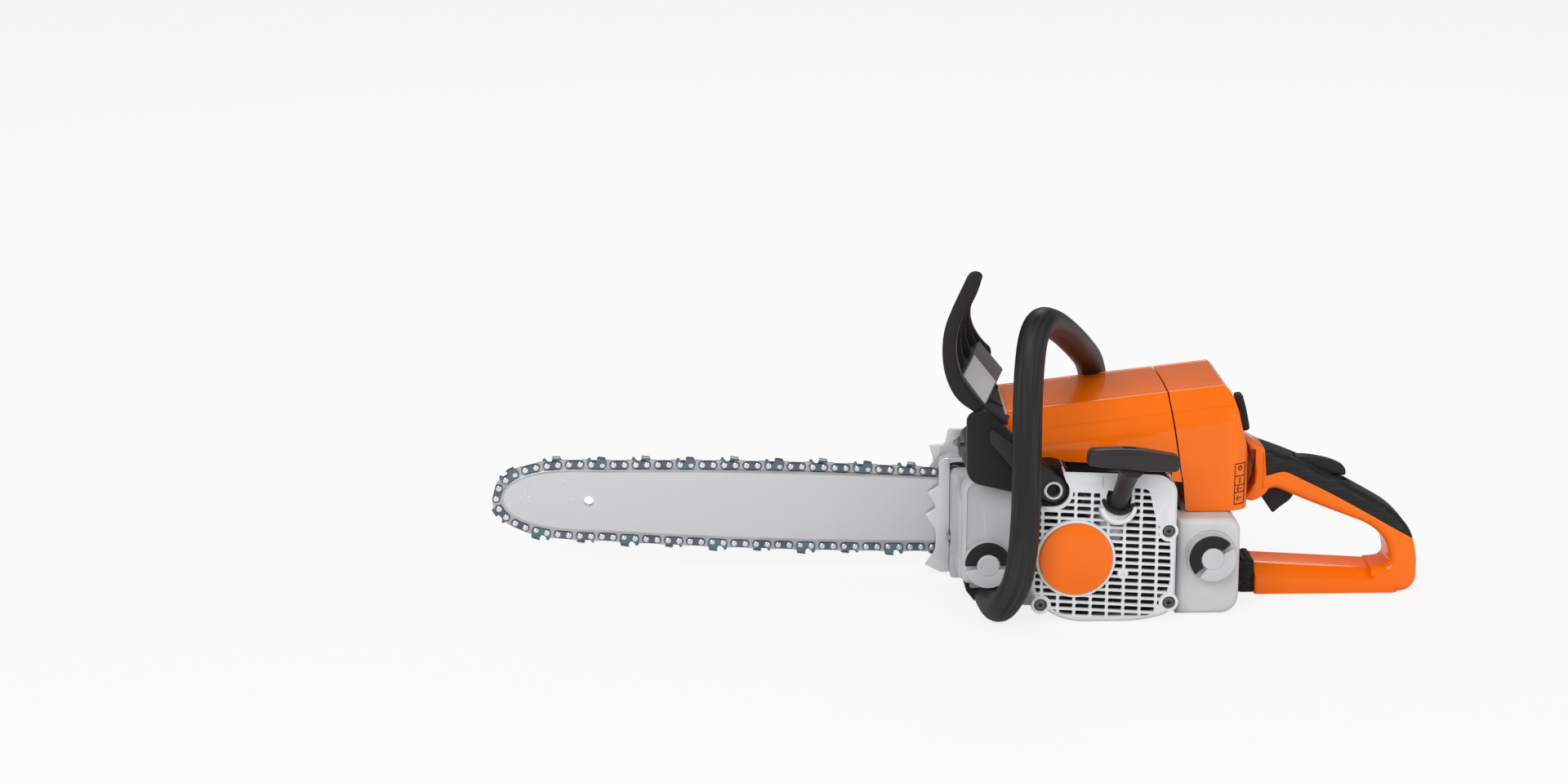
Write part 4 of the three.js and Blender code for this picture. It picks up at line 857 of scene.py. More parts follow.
@dataclass
class TopCovers:
    """The orange arch over the engine: a front cover, and a rear cover with its lock and marks."""

    front: float = -47.0
    rear: float = 127.6
    lock_face: float = 122.0
    half_width: float = 52.0
    slope: float = 0.115
    crown: float = 149.0
    wall: float = 2.5
    seam: tuple[Point2, Point2] = ((67.0, 170.0), (80.0, 92.0))
    seam_gap: float = 1.1
    lock_axis: tuple[float, float] = (-5.0, 132.0)

    def side(self, inset: float) -> list[Corner]:
        """Give the arch's side view, in X and Z, shrunk by an inset.

        Args:
            inset: How far it is shrunk.

        Returns:
            The corners.
        """
        i = inset
        return [(self.front + i, 40), (self.front + i, 136, 5), (-43 + i, 145.4 - i, 8), (35, 156.5 - i, 12),
                (97, 162 - i, 8), (112 - i, 160.2 - i, 12), (117.4 - i, 146, 8), (121.6 - i, 129, 8),
                (self.rear - i, 110, 10),
                (self.rear - 0.4 - i, 40)]

    def section(self, inset: float) -> list[Corner]:
        """Give the arch's front view, in Y and Z, shrunk by an inset.

        Args:
            inset: How far it is shrunk.

        Returns:
            The corners.
        """
        half, top = self.half_width - inset, self.crown - inset
        right = [(half, 0), (half, top - 24, 7), (half - 3.5, top - 16.9, 1), (half - 3.7, top - 15.6, 0.5),
                 (half - 4.5, top - 15.3, 0.5), (half - 11, top - 3.2, 1), (half - 11.1, top - 2, 0.5),
                 (half - 12.2, top - 1.7, 0.5), (half - 13, top - 2.3, 1), (half - 30, top - 0.6, 10)]
        return [*((-y, *rest) for y, *rest in right), (0, top, 12), *reversed(right)]

    def plan(self, inset: float) -> list[Corner]:
        """Give the arch seen from above, with its upright corners rounded.

        Args:
            inset: How far it is shrunk.

        Returns:
            The corners.
        """
        half, front, rear = self.half_width - inset, self.front + inset, self.rear - inset
        back = [(rear, 29, 3), (self.lock_face - inset, 24, 3)]
        return [(front, half, 7), (front, -half, 7), (rear, -half, 16),
                *((x, -y, *rest) for x, y, *rest in back), *reversed(back), (rear, half, 16)]

    def arch(self, inset: float) -> Shape:
        """Make the whole arch as a solid, shrunk by an inset.

        Args:
            inset: How far it is shrunk.

        Returns:
            The solid.
        """
        climb = Matrix.Identity(4)
        climb[2][0] = self.slope
        section = Shape.slab(self.section(inset), -70, 150, plane=Plane.YZ, arc=8).turn(climb)
        side = Shape.slab(self.side(inset), -60, 60, arc=10)
        plan = Shape.slab(self.plan(inset), 20, 200, plane=Plane.XY, arc=10)
        return side.meet(section).meet(plan)

    def shell(self, region: list[Corner]) -> Shape:
        """Make the arch's shell inside a side view region."""
        return self.arch(0).cut(self.arch(self.wall)).meet(Shape.slab(region, -70, 70))

    def build_front(self) -> bpy.types.Object:
        """Build the front cover."""
        (top_x, top_z), (low_x, low_z) = self.seam
        region = [(-60, 139), (-60, 200), (top_x - 5, 200), (top_x - self.seam_gap, top_z),
                  (low_x - self.seam_gap, low_z), (71.6, 93), (71.6, 103.2, 3), (-12, 108.2, 6),
                  (-34, 114, 4), (-48, 129)]
        made = self.shell(region)
        made.cut(Shape.box((-60, -36), (-37, 37), (80, 138)))
        return made.piece("top_cover_front", Finish.ORANGE, "saw_body", "orange_gloss", ["top_shroud"])

    def build_rear(self) -> bpy.types.Object:
        """Build the rear cover, with a notch for the handle's neck and a hole for the lock."""
        (top_x, top_z), (low_x, low_z) = self.seam
        region = [(top_x - 5, 200), (200, 200), (200, 70.6), (82, 70.6, 2), (low_x, low_z), (top_x, top_z)]
        made = self.shell(region)
        lock_y, lock_z = self.lock_axis
        made.cut(Shape.box((110, 140), (-24, 24), (60, 84)),
                 Shape.rod((112, lock_y, lock_z), (132, lock_y, lock_z), 6.0))
        self.build_marks()
        return made.piece("top_cover_rear", Finish.ORANGE, "carb_cover", "orange_gloss", ["carb_cover"])

    def build_marks(self) -> None:
        """Build the framed off, on and choke marks by the lever, on the cover's rear corner."""
        left, right, low, high = 116.6, 124.2, 75.2, 104.6
        cells = [low, 83.6, 89.0, 95.6, high]
        flat = [Shape.box((left, right), (-70, -40), (z - 0.32, z + 0.32)) for z in cells]
        flat += [Shape.box((x - 0.3, x + 0.3), (-70, -40), (low, high)) for x in (left, right)]
        middle = (left + right) / 2
        zero = Shape.tube((0.9, 1.7), (0, 40), (middle, -40, 101.4), sides=20)
        bar = Shape.box((middle - 0.4, middle + 0.4), (-70, -40), (90.2, 94.4))
        flat += [zero, bar]
        for z in (86.3, 79.4):
            arc = Shape.tube((1.3, 2.1), (0, 40), (middle, -40, z), sides=20)
            flat.append(arc.cut(Shape.box((middle - 0.6, 200), (-90, 0), (z - 3, z + 3))))
            flat.append(Shape.box((middle - 0.4, middle + 1.6), (-70, -40), (z - 0.34, z + 0.34)))
        skin = self.arch(-0.12).cut(self.arch(0.3))
        made = Shape()
        for part in flat:
            made.add(part.meet(skin))
        made.piece("control_marks", Finish.INK, "carb_cover", "black_plastic")

    def build_lock(self) -> bpy.types.Object:
        """Build the twist lock on the rear cover."""
        lock_y, lock_z = self.lock_axis
        wing = [(126.6, 117.6, 2), (121.8, 144.6, 2), (127.4, 145.8, 2.4), (131.6, 131, 8),
                (133.8, 118.6, 2.4)]
        made = Shape.rod((116.6, lock_y, lock_z), (127, lock_y, lock_z), 5.6)
        made.add(Shape.slab(wing, lock_y - 5, lock_y + 5, (1.8, 1.8)))
        made.add(Shape.slab([(127, 123, 1), (124, 141, 1), (127.6, 141, 1), (131.6, 124, 1)], lock_y - 5.4,
                            lock_y + 5.4, (0.5, 0.5)))
        return made.piece("cover_twist_lock_wing", Finish.BLACK, "cover_twist_lock", "black_plastic",
                          ["cover_twist_lock"])

    def build(self) -> None:
        """Build both covers and the lock."""
        self.build_front()
        self.build_rear()
        self.build_lock()


# ---- starter side


@dataclass
class StarterSide:
    """The grilled starter cover with its badge, grip cup, screws and the pull grip."""

    face: float = -88.0
    back: float = -46.0
    badge_radius: float = 25.7
    slot_pitch: Point2 = (11.5, 5.05)
    slot_size: Point2 = (9.7, 3.4)
    slot_tilt: float = 3.4
    slot_start: Point2 = (-29.3, 7.5)
    slot_rows: int = 21
    slot_columns: int = 10
    screws: tuple[Point2, ...] = ((65.2, 66.0), (66.4, 14.0), (-24.0, 13.0))
    stem_low: Point = (27.5, -84.0, 80.0)
    stem_high: Point = (34.0, -110.0, 118.0)
    boss: Point2 = (33.4, 35.4)
    cup: Point2 = (28.3, 83.5)
    shelf: float = 84.6

    def outline(self, inset: float) -> list[Corner]:
        """Give the cover's front view, shrunk by an inset.

        Args:
            inset: How far it is shrunk.

        Returns:
            The corners.
        """
        i = inset
        return [(-34 + i, 110.4 - i, 8), (61, 106.4 - i, 5), (71 - i, 98 - i, 6), (71 - i, 6 + i, 10),
                (45, i, 12), (-12, i, 24), (-34 + i, 22 + i, 16)]

    def slot_places(self) -> list[Point2]:
        """List the middles of the cooling slots over the whole face."""
        (start_x, start_z), (step_x, step_z) = self.slot_start, self.slot_pitch
        fall = math.tan(math.radians(self.slot_tilt))
        across = [start_x + column * step_x for column in range(self.slot_columns)]
        return [(x, start_z + row * step_z - x * fall) for row in range(self.slot_rows) for x in across]

    def slots(self) -> Shape:
        """Make every slot's cutting block."""
        width, height = (side / 2 for side in self.slot_size)
        made = Shape()
        for x, z in self.slot_places():
            block = Shape.slab(rectangle(-width, width, -height, height, 0.9), self.face - 3, self.face + 6,
                               arc=2)
            made.add(block.spun(self.slot_tilt).move((x, 0, z)))
        return made.meet(self.grille())

    def grille(self) -> Shape:
        """Make the region that the slots fill: the face inside its rim, without the badge and the bosses."""
        low, high = self.face - 2, self.face + 5
        side = [(-27.6, 96), (17, 94.4), (17, 100), (50.6, 96.6, 3), (56.5, 72, 4), (66.2, 60.6, 4),
                (67.2, 30.6, 3), (62.6, 14.6, 4), (52.4, 4.6, 3), (-9, 4.6, 12), (-28.4, 19, 10)]
        made = Shape.slab(side, low, high)
        holes = [(0, CRANK_Z, self.badge_radius + 2.4), (*self.boss, 3.8), (*GUARD_PIVOT, 13.4)]
        holes += [(x, z, 7.2) for x, z in self.screws]
        for x, z, radius in holes:
            made.cut(Shape.bore(x, z, low - 1, high + 1, radius, 56))
        cup = [(16.4, 108), (40.4, 108), (40.4, 82, 8), (28.4, 71.2, 9), (16.4, 82, 8)]
        return made.cut(Shape.slab(cup, low - 1, high + 1))

    def screw_seats(self) -> list[Shape]:
        """Make the wells that the screw heads sit in."""
        return [Shape.bore(x, z, self.face - 4, self.face + 5, 4.7) for x, z in self.screws]

    def build_cover(self) -> bpy.types.Object:
        """Build the cover: a shell with rounded edges, a grille, a boss, wells and the grip's cup."""
        wall = 2.6
        shell = Shape.slab(self.outline(0), self.face, self.back + 8, (4.4, 0), arc=8, steps=5)
        shell.cut(Shape.slab(self.outline(wall), self.face + wall, self.back + 12, (2, 0), arc=6),
                  Shape.box((-99, 199), (self.back, 0), (-20, 199)))
        bosses = [Shape.rod((x, self.face + 0.5, z), (x, self.back - 0.3, z), 6.6) for x, z in self.screws]
        cup = Shape.lathe([(0, -26), (11.2, -26), (11.4, 4.6), (10.8, 5.4), (9.4, 5.4), (8.9, 4), (8.8, -1),
                           (0, -2.5)], self.cup_place(4.5), self.stem_line(), 40)
        cup.meet(Shape.box((0, 60), (self.face - 3.6, -70), (50, 106)))
        lip = Shape.lathe([(25.9, 1), (25.9, 1.3), (26.6, 1.7), (27.6, 1.5), (28, 0.6), (28, -1),
                           (25.9, -1), (25.9, 1)],
                          (0, self.face, CRANK_Z), sides=96)
        shelf = Shape.lathe([(0, -3), (13.6, -3), (13.6, 4.6), (12.8, 5.6), (10.4, 5.6), (10, 4), (0, 4)],
                            (self.cup[0], self.face + 2, self.shelf), (0.12, -0.94, 0.3), 48)
        shelf.cut(Shape.box((0, 60), (-120, 0), (self.shelf, 120)))
        shell.join(*bosses, lip, shelf, cup)
        shell.cut(Shape.box((-8, 67.5), (self.face + 3, self.back + 9), (98.6, 130)))
        # A black box behind the starter cover's top lip, seen dark in the gap under the shroud.
        dark_box = Shape.box((-3.6, 67), (self.face + 3.2, self.back - 5), (92, 99.6), 0.6)
        dark_box.piece("black_box_behind_top_lip", Finish.PANEL, "saw_body", "black_plastic")
        seat = [(-33, 84, 2), (-8.2, 84, 2), (-4, 96, 3), (-4, 108, 3), (-14, 111, 3), (-33, 111, 2)]
        seat = Shape.slab(seat, -72.6, self.back - 1, (1, 0))
        seat.piece("guard_arm_seat", Finish.PANEL, "saw_body", "black_plastic")
        # A black sheet behind the grille: painted shade that makes the slots read dark.
        shade_sheet = Shape.slab(self.outline(3.4), -76.4, -75.2)
        shade_sheet.cut(Shape.bore(0, CRANK_Z, -80, -70, 37, 64),
                   Shape.box((-40, 14), (-80, -70), (82, 120)), Shape.box((14, 44), (-80, -70), (70, 120)))
        shade_sheet.piece("painted_shade_sheet", Finish.PANEL, "saw_body", "black_plastic")
        mouth = Shape.lathe([(0, -8), (8.6, -8), (8.9, 12), (0, 12)], self.cup_place(4.5),
                            self.stem_line(), 40)
        shell.cut(mouth, self.slots(), *self.screw_seats(), *self.notches())
        return shell.piece("starter_cover_shell", Finish.WHITE, "saw_body", "light_grey", ["starter_cover"])

    def cup_place(self, depth: float) -> Point:
        """Give the middle of the grip's cup, at a depth behind the cover's face."""
        x, z = self.cup
        return x, self.face + depth, z

    def stem_line(self) -> Vector:
        """Give the direction of the grip's stem."""
        return Vector(self.stem_high) - Vector(self.stem_low)

    def notches(self) -> list[Shape]:
        """Make the cuts for the hand guard's arm and the seam under the cover's top band."""
        x, z = GUARD_PIVOT
        sweep = [(x - 30, z), (x, z + 11), (x + 11, z), (x, z + 30), (x - 30, z + 30)]
        groove = [(17.7, 98.5), (17.7, 110), (18.7, 110), (18.7, 98.5)]
        return [Shape.box((-40, x), (self.face - 5, -73), (z - 11, 130)),
                Shape.box((-40, -9.4), (self.face - 5, self.back + 9), (99.4, 130)),
                Shape.bore(x, z, self.face - 5, -73, 11),
                Shape.slab(sweep, self.face - 5, -73),
                Shape.slab(groove, self.face - 3, self.face + 1.2)]

    def build_badge(self) -> bpy.types.Object:
        """Build the bare round badge."""
        radius, out = self.badge_radius, 3.4
        profile = [(0, out), (radius - 1.6, out), (radius - 0.5, out - 0.4), (radius, out - 1.2),
                   (radius, 0.3), (0, 0.3)]
        made = Shape.lathe(profile, (0, self.face, CRANK_Z), sides=96)
        return made.piece("starter_badge_disc", Finish.ORANGE, "saw_body", "orange_gloss", ["starter_badge"])

    def build_screws(self) -> None:
        """Build the recessed screws, each with a six-lobed socket."""
        for index, (x, z) in enumerate(self.screws, 1):
            head = Shape.lathe([(0, 0.4), (2.2, 0.4), (3.6, 0.1), (4.1, -0.7), (4.1, -3.2), (2.1, -3.4),
                                (2.1, -36), (0, -36)], (x, self.face + 2, z), sides=32)
            lobes = Shape.lathe([(0, -2.4), (1.55, -2.4), (1.75, 1.5), (0, 1.5)], (x, self.face + 2, z),
                                sides=6)
            head.cut(lobes)
            replaced = [f"starter_screw_{index}"] if index < 3 else []
            head.piece(f"cover_screw_{index}", Finish.DARK_STEEL, "saw_body", "steel", replaced)

    def build_grip(self) -> bpy.types.Object:
        """Build the pull grip: a ridged bar on a flared stem, with an oval hole on top."""
        side = [(3.4, 121, 3), (4.4, 132, 4), (35, 133, 12), (67.4, 127, 4), (67.4, 115.6, 4), (40, 116.6, 8),
                (30, 117.4, 8)]
        bar = Shape.slab(side, -116.6, -103.4, (3.2, 3.2), arc=8, steps=5)
        ridge = [(6, 129.4, 1), (35, 130.6, 10), (65, 125.2, 1), (65, 123.8, 1), (35, 129.2, 10), (6, 128, 1)]
        stem = Shape.lathe([(0, -3.5), (6.3, -3.5), (6.5, 0), (6.2, 14), (6.4, 30), (7.4, 40), (9.5, 45.5),
                            (0, 47)], (28, -84, 81), self.stem_line(), 40)
        hole = Shape.slab(rectangle(28, 38, -112.5, -107.6, 2.4), 128, 140, plane=Plane.XY)
        bar.join(stem).cut(hole)
        bar.add(Shape.slab(ridge, -117, -115.4, (0.7, 0)))
        return bar.piece("pull_grip", Finish.CHARCOAL, "starter_grip", "black_plastic", ["starter_grip"])

    def build_small_parts(self) -> None:
        """Build the black lip of the cup, the guard's bush and the small pierced boss."""
        cup = Shape.lathe([(8.9, 2), (11, 3.2), (11.9, 5.4), (11.3, 6.6), (9.6, 6.8), (8.6, 5), (8.9, 2)],
                          self.cup_place(4.3), self.stem_line(), 40)
        cup.piece("grip_cup_lip", Finish.BLACK, "saw_body", "black_plastic")
        x, z = GUARD_PIVOT
        bush = Shape.lathe([(6.7, -73.6), (6.7, -85), (6.2, -85.5), (5, -85.5), (4.6, -85), (4.6, -73.6),
                            (6.7, -73.6)], (x, 0, z), (0, 1, 0), 40)
        bush.piece("guard_bush_ring", Finish.BAR, "saw_body", "steel", ["guard_pivot_bush"])
        boss = Shape.lathe([(1.5, -1), (1.5, 0.9), (3.0, 0.9), (3.6, 0.2), (3.6, -1), (1.5, -1)],
                           (self.boss[0], self.face, self.boss[1]), sides=28)
        boss.piece("cover_boss", Finish.WHITE, "saw_body", "light_grey")

    def build(self) -> None:
        """Build the whole starter side."""
        self.build_cover()
        self.build_badge()
        self.build_screws()
        self.build_grip()
        self.build_small_parts()


# ---- cutting gear


@dataclass
class BarLine:
    """The guide bar's own frame and outline: d runs forward along the bar, h stands up from it."""

    tilt: float = 2.1
    axis_z: float = 43.4
    y: float = 46.0
    thickness: float = 4.7
    tail: float = 27.0
    length: float = 407.5
    half_height: float = 26.6
    nose: float = 76.0
    nose_bluntness: float = 3.2
    belly: float = 1.35e-4
    widest: float = 190.0
    chain_run: float = 16.3

    def matrix(self) -> Matrix:
        """Give the bar's frame as a matrix: X back along the bar, Y across it, Z up from it."""
        turn = Matrix.Rotation(math.radians(self.tilt), 4, "Y")
        return Matrix.Translation((0, self.y, self.axis_z)) @ turn

    def spot(self, d: float, h: float = 0, y: float = 0) -> Vector:
        """Give a point of the bar's frame in the saw's frame."""
        return self.matrix() @ Vector((-d, y, h))

    def half(self, d: float) -> float:
        """Give half the bar's height at a distance along it.

        Args:
            d: The distance along the bar's axis.

        Returns:
            Half the height.
        """
        nose_start = self.length - self.nose
        loss = self.belly * (min(d, nose_start) - self.widest) ** 2
        into = max(0.0, (d - nose_start) / self.nose)
        return (self.half_height - loss) * math.sqrt(max(0.0, 1 - into ** self.nose_bluntness))

    def rail(self, start: float, side_steps: int = 12, nose_steps: int = 22) -> list[Point2]:
        """List the upper rail from a distance to just before the tip, in the bar's frame.

        Args:
            start: The distance that it starts at.
            side_steps: Steps before the nose.
            nose_steps: Steps round the nose.

        Returns:
            The rail's points.
        """
        nose_start = self.length - self.nose
        sides = [start + (nose_start - start) * k / side_steps for k in range(side_steps)]
        bend = [nose_start + self.nose * math.sin(k / nose_steps * math.pi / 2) for k in range(nose_steps)]
        return [(-d, self.half(d)) for d in sides + bend]

    def loop(self) -> list[Point2]:
        """List the bar's outline."""
        upper = self.rail(self.tail + 12)
        lower = [(x, -h) for x, h in reversed(upper)]
        tail = self.half(self.tail) - 8
        return [(-self.tail, tail), *upper, (-self.length, 0), *lower, (-self.tail, -tail)]

    def chain_path(self, offset: float) -> list[Vector]:
        """List the chain's line, an offset outside the rails and the drive sprocket.

        Args:
            offset: How far outside the rails it runs.

        Returns:
            A dense closed line in the bar's frame, forward along the top.
        """
        upper = self.rail(self.tail + 12, 40, 60)
        lower = [(x, -h) for x, h in reversed(upper)]
        rise = CRANK_Z - self.axis_z
        arc = [(self.chain_run * math.cos(a), rise + self.chain_run * math.sin(a))
               for a in (math.radians(angle) for angle in range(-105, 106, 6))]
        loop = [Vector((x, 0, h)) for x, h in [*upper, (-self.length, 0), *lower, *arc]]
        out = []
        for index, place in enumerate(loop):
            along = loop[(index + 1) % len(loop)] - loop[index - 1]
            out.append(place + Vector((along.z, 0, -along.x)).normalized() * offset)
        return out


@dataclass
class CuttingGear:
    """The guide bar, its nose, the saw chain, the spikes, and the sprocket cover with its nuts."""

    line: BarLine = field(default_factory=BarLine)
    pitch: float = 8.255
    rivet_offset: float = 3.35
    chain_phase: float = 0.35
    cutter_turn: tuple[int, ...] = (-1, 0, 1, 0)
    rail_end: float = -12.0
    nose_teeth: int = 10
    nose_radii: Point2 = (13.4, 10.2)
    plate_inside: float = 0.75
    plate_outside: float = 1.95
    studs: tuple[float, float] = (70.0, 46.0)
    nose_centre: float = 389.5
    cover_face: float = 84.0
    cover_rim: float = 42.3
    groove: float = 0.95
    spike_inner: Point2 = (36.1, 38.9)
    spike_outer: Point2 = (58.1, 60.9)
    lean: float = 0.3
    lean_from: float = 2.6

    # ---- bar

    def build_bar(self) -> bpy.types.Object:
        """Build the bar: bevelled rails, a groove, the slot, the pin and oil holes and the tip's hole."""
        line = self.line
        half = line.thickness / 2
        bar = Shape.slab(line.loop(), -half, half, (0.45, 0.45), steps=2)
        faces = sorted(bar.mesh.faces, key=lambda face: face.calc_area())[-2:]
        bmesh.ops.inset_region(bar.mesh, faces=faces, use_boundary=True, use_even_offset=True, thickness=1.7)
        for face in bar.mesh.faces:
            face.material_index = 0 if face in faces else 1
        slot_from, slot_to = self.studs[1] - 5, self.studs[0] + 10
        slot = rectangle(-slot_to, -slot_from, -4.3, 4.3, 4)
        holes = [Shape.bore(-d, h, -4, 4, r)
                 for d, h, r in ((343, 0, 3.75), (52, -17, 2.8), (52, 17, 2.8), (40, 17, 1.6),
                                 (40, -17, 1.6))]
        groove = self.grown(2.0, -self.groove, self.groove).cut(self.grown(-6.0, -2, 2))
        pocket = Shape.tube((5, 14.3), (-self.groove, self.groove), (-self.nose_centre, 0, 0), (0, 1, 0))
        bar.cut(groove, pocket, Shape.slab(slot, -4, 4), *holes)
        bar.turn(line.matrix())
        made = bar.piece("guide_bar_plate", Finish.BAR, "guide_bar", "bar_steel", ["guide_bar"], 30)
        made.data.materials.append(Finish.BAR_RAIL.material())
        return made

    def grown(self, by: float, low: float, high: float) -> Shape:
        """Make the bar's outline as a slab, grown by a distance.

        Args:
            by: How far the outline moves outwards.
            low: The near face.
            high: The far face.

        Returns:
            The slab.
        """
        loop = self.line.loop()
        out = []
        for index, place in enumerate(loop):
            (ax, ah), (bx, bh) = loop[index - 1], loop[(index + 1) % len(loop)]
            along = Vector((bx - ax, bh - ah)).normalized()
            out.append((place[0] + along.y * by, place[1] - along.x * by))
        return Shape.slab(out, low, high)

    def build_nose(self) -> None:
        """Build the nose sprocket and the rivets that hold it."""
        half, points = 0.6, 2 * self.nose_teeth
        teeth = []
        for index in range(points):
            radius = self.nose_radii[index % 2]
            angle = index / points * 2 * math.pi
            teeth.append((radius * math.cos(angle), radius * math.sin(angle), 1.2))
        wheel = Shape.slab(teeth, -half, half, (0.15, 0.15), arc=3, steps=1)
        wheel.cut(Shape.bore(0, 0, -3, 3, 5.3)).move((-self.nose_centre, 0, 0))
        wheel.turn(self.line.matrix())
        wheel.piece("nose_wheel", Finish.STEEL, "nose_sprocket", "steel", ["nose_sprocket"])
        rivets = Shape()
        for index in range(6):
            angle = math.radians(60 * index + 30)
            x, z = 3.1 * math.cos(angle) - self.nose_centre, 3.1 * math.sin(angle)
            rivets.add(self.rivet(0.8, 2.47, 16).move((x, 0, z)))
        for d, h in ((362, 13.5), (362, -13.5), (354, 0)):
            rivets.add(self.rivet(1.9, 2.45, 24).move((-d, 0, h)))
        rivets.turn(self.line.matrix())
        rivets.piece("nose_rivets", Finish.BAR, "guide_bar", "bar_steel")

    def rivet(self, radius: float, reach: float, sides: int) -> Shape:
        """Make a rivet across the chain or the bar, with slightly domed heads.

        Args:
            radius: Its radius.
            reach: How far each head reaches from the middle.
            sides: Segments round it.

        Returns:
            The rivet.
        """
        profile = [(0, reach), (radius * 0.55, reach - 0.02), (radius * 0.9, reach - 0.16),
                   (radius, reach - 0.34)]
        lower = [(r, -h) for r, h in reversed(profile)]
        return Shape.lathe(profile + lower, (0, 0, 0), (0, 1, 0), sides)

    # ---- chain

    def rivet_places(self) -> list[Vector]:
        """Space the rivets evenly along the chain's line, a multiple of four of them."""
        path = self.line.chain_path(self.rivet_offset)
        loop = path + [path[0]]
        lengths = [(b - a).length for a, b in zip(loop, loop[1:])]
        total = sum(lengths)
        count = 4 * round(total / self.pitch / 4)
        places, walked, index = [], 0.0, 0
        for step in range(count):
            target = total * (step + self.chain_phase) / count
            while walked + lengths[index] < target:
                walked += lengths[index]
                index += 1
            places.append(loop[index].lerp(loop[index + 1], (target - walked) / lengths[index]))
        return places

    def link_frames(self, first: int) -> list[Matrix]:
        """Give the frame of every link between rivets 2k + first and the next, X along the travel.

        Args:
            first: The number of the first rivet, 0 or 1.

        Returns:
            A frame for each link.
        """
        places = self.rivet_places()
        frames = []
        for index in range(first, len(places) + first, 2):
            here, there = places[index % len(places)], places[(index + 1) % len(places)]
            along = (there - here).normalized()
            out = Vector((along.z, 0, -along.x))
            across = out.cross(along)
            turn = Matrix((along, across, out)).transposed().to_4x4()
            frames.append(self.line.matrix() @ Matrix.Translation((here + there) / 2) @ turn)
        return frames

    def strap(self, side: float) -> Shape:
        """Make one strap plate, on the near or the far side.

        Args:
            side: -1 for the near side, 1 for the far side.

        Returns:
            The plate.
        """
        outline = rectangle(-7.1, 7.1, -2.85, 2.8, 2.7)
        y0, y1 = sorted((side * self.plate_inside, side * self.plate_outside))
        return Shape.slab(outline, y0, y1, (0.2, 0.2), arc=4, steps=1)

    def cutter(self, side: float) -> Shape:
        """Make one cutter: a base plate that rises into a depth gauge and a leaning top plate.

        Args:
            side: -1 for the near side, 1 for the far side.

        Returns:
            The plate.
        """
        base = [(-7.1, -2.85, 2.6), (7.1, -2.85, 2.6), (7.2, 1.6, 1.6), (7.0, 4.0, 1.2), (6.3, 5.2, 0.8),
                (4.9, 5.3, 0.6), (4.2, 3.8, 1.0), (3.0, 2.4, 1.4), (0.4, 2.2, 1.2), (-0.5, 5.4, 0.3),
                (-6.2, 4.9, 0.5), (-7.2, 2.7, 1.4)]
        y0, y1 = sorted((side * self.plate_inside, side * self.plate_outside))
        plate = Shape.slab(base, y0, y1, (0.2, 0.2), arc=3, steps=1)
        for vert in plate.mesh.verts:
            if vert.co.x < 3 and vert.co.z > self.lean_from:
                vert.co.y += side * (vert.co.z - self.lean_from) * self.lean
        return plate

    def top_plate(self, side: float) -> Shape:
        """Make the chromed top plate of a cutter, with a slanted cutting edge.

        Args:
            side: -1 for the near side, 1 for the far side.

        Returns:
            The plate.
        """
        y_out, y_in = side * 3.3, side * -0.6
        corners = [(-6.4, y_out, 0.5), (0.2, y_out, 0.2), (-0.9, y_in, 0.2), (-5.9, y_in, 0.8)]
        plate = Shape.slab(corners, 4.9, 5.75, (0.2, 0.2), Plane.XY, arc=3, steps=1)
        return plate.spun(-5.5, "Y", (-3, 0, 5.3))

    def drive_link(self) -> Shape:
        """Make one drive link: a hump between the straps and a tang in the bar's groove."""
        outline = [(-6.4, -1.5, 1.8), (-5.8, 2.2, 1.5), (-2.8, 3.6, 1.5), (2.8, 3.6, 1.5), (5.8, 2.2, 1.5),
                   (6.4, -1.5, 1.8), (3.4, -3.2, 1.2), (1.6, -6.9, 0.8), (-0.9, -6.6, 0.8), (-3.4, -3.2, 1.2)]
        return Shape.slab(outline, -0.62, 0.62, (0.15, 0.15), arc=3, steps=1)

    def build_chain(self) -> None:
        """Build the chain: straps, left and right cutters, drive links and rivets."""
        straps, cutters, tops, shaded_far_tops, drives, rivets = (Shape() for _ in range(6))
        near, far = self.strap(-1), self.strap(1)
        cutter = {side: self.cutter(side) for side in (-1, 1)}
        top = {side: self.top_plate(side) for side in (-1, 1)}
        for index, place in enumerate(self.link_frames(0)):
            side = self.cutter_turn[index % 4]
            on_rail = place.translation.x < self.rail_end
            for one_side, plate in ((-1, near), (1, far)):
                if side == one_side and on_rail:
                    cutters.add(cutter[side].copy().turn(place))
                    # Every top plate is the same chromed part; the far ones take the dark strap steel as
                    # painted shade.
                    (tops if side < 0 else shaded_far_tops).add(top[side].copy().turn(place))
                else:
                    straps.add(plate.copy().turn(place))
        drive = self.drive_link()
        for place in self.link_frames(1):
            drives.add(drive.copy().turn(place))
        rivet = self.rivet(2.05, 2.28, 16)
        for place in self.rivet_places():
            rivets.add(rivet.copy().move(place).turn(self.line.matrix()))
        straps.piece("chain_straps", Finish.STRAP, "guide_bar", "chain_steel", ["saw_chain"])
        cutters.piece("chain_cutters", Finish.CUTTER, "guide_bar", "chain_steel")
        tops.piece("chain_top_plates", Finish.RIVET, "guide_bar", "chain_steel")
        # Far top plates: dark strap steel as painted shade.
        shaded_far_tops.piece("chain_top_plates_far_painted_shade", Finish.STRAP, "guide_bar", "chain_steel")
        drives.piece("chain_drive_links", Finish.DRIVE, "guide_bar", "chain_steel")
        rivets.piece("chain_rivets", Finish.RIVET, "guide_bar", "chain_steel")

    # ---- spikes and cover

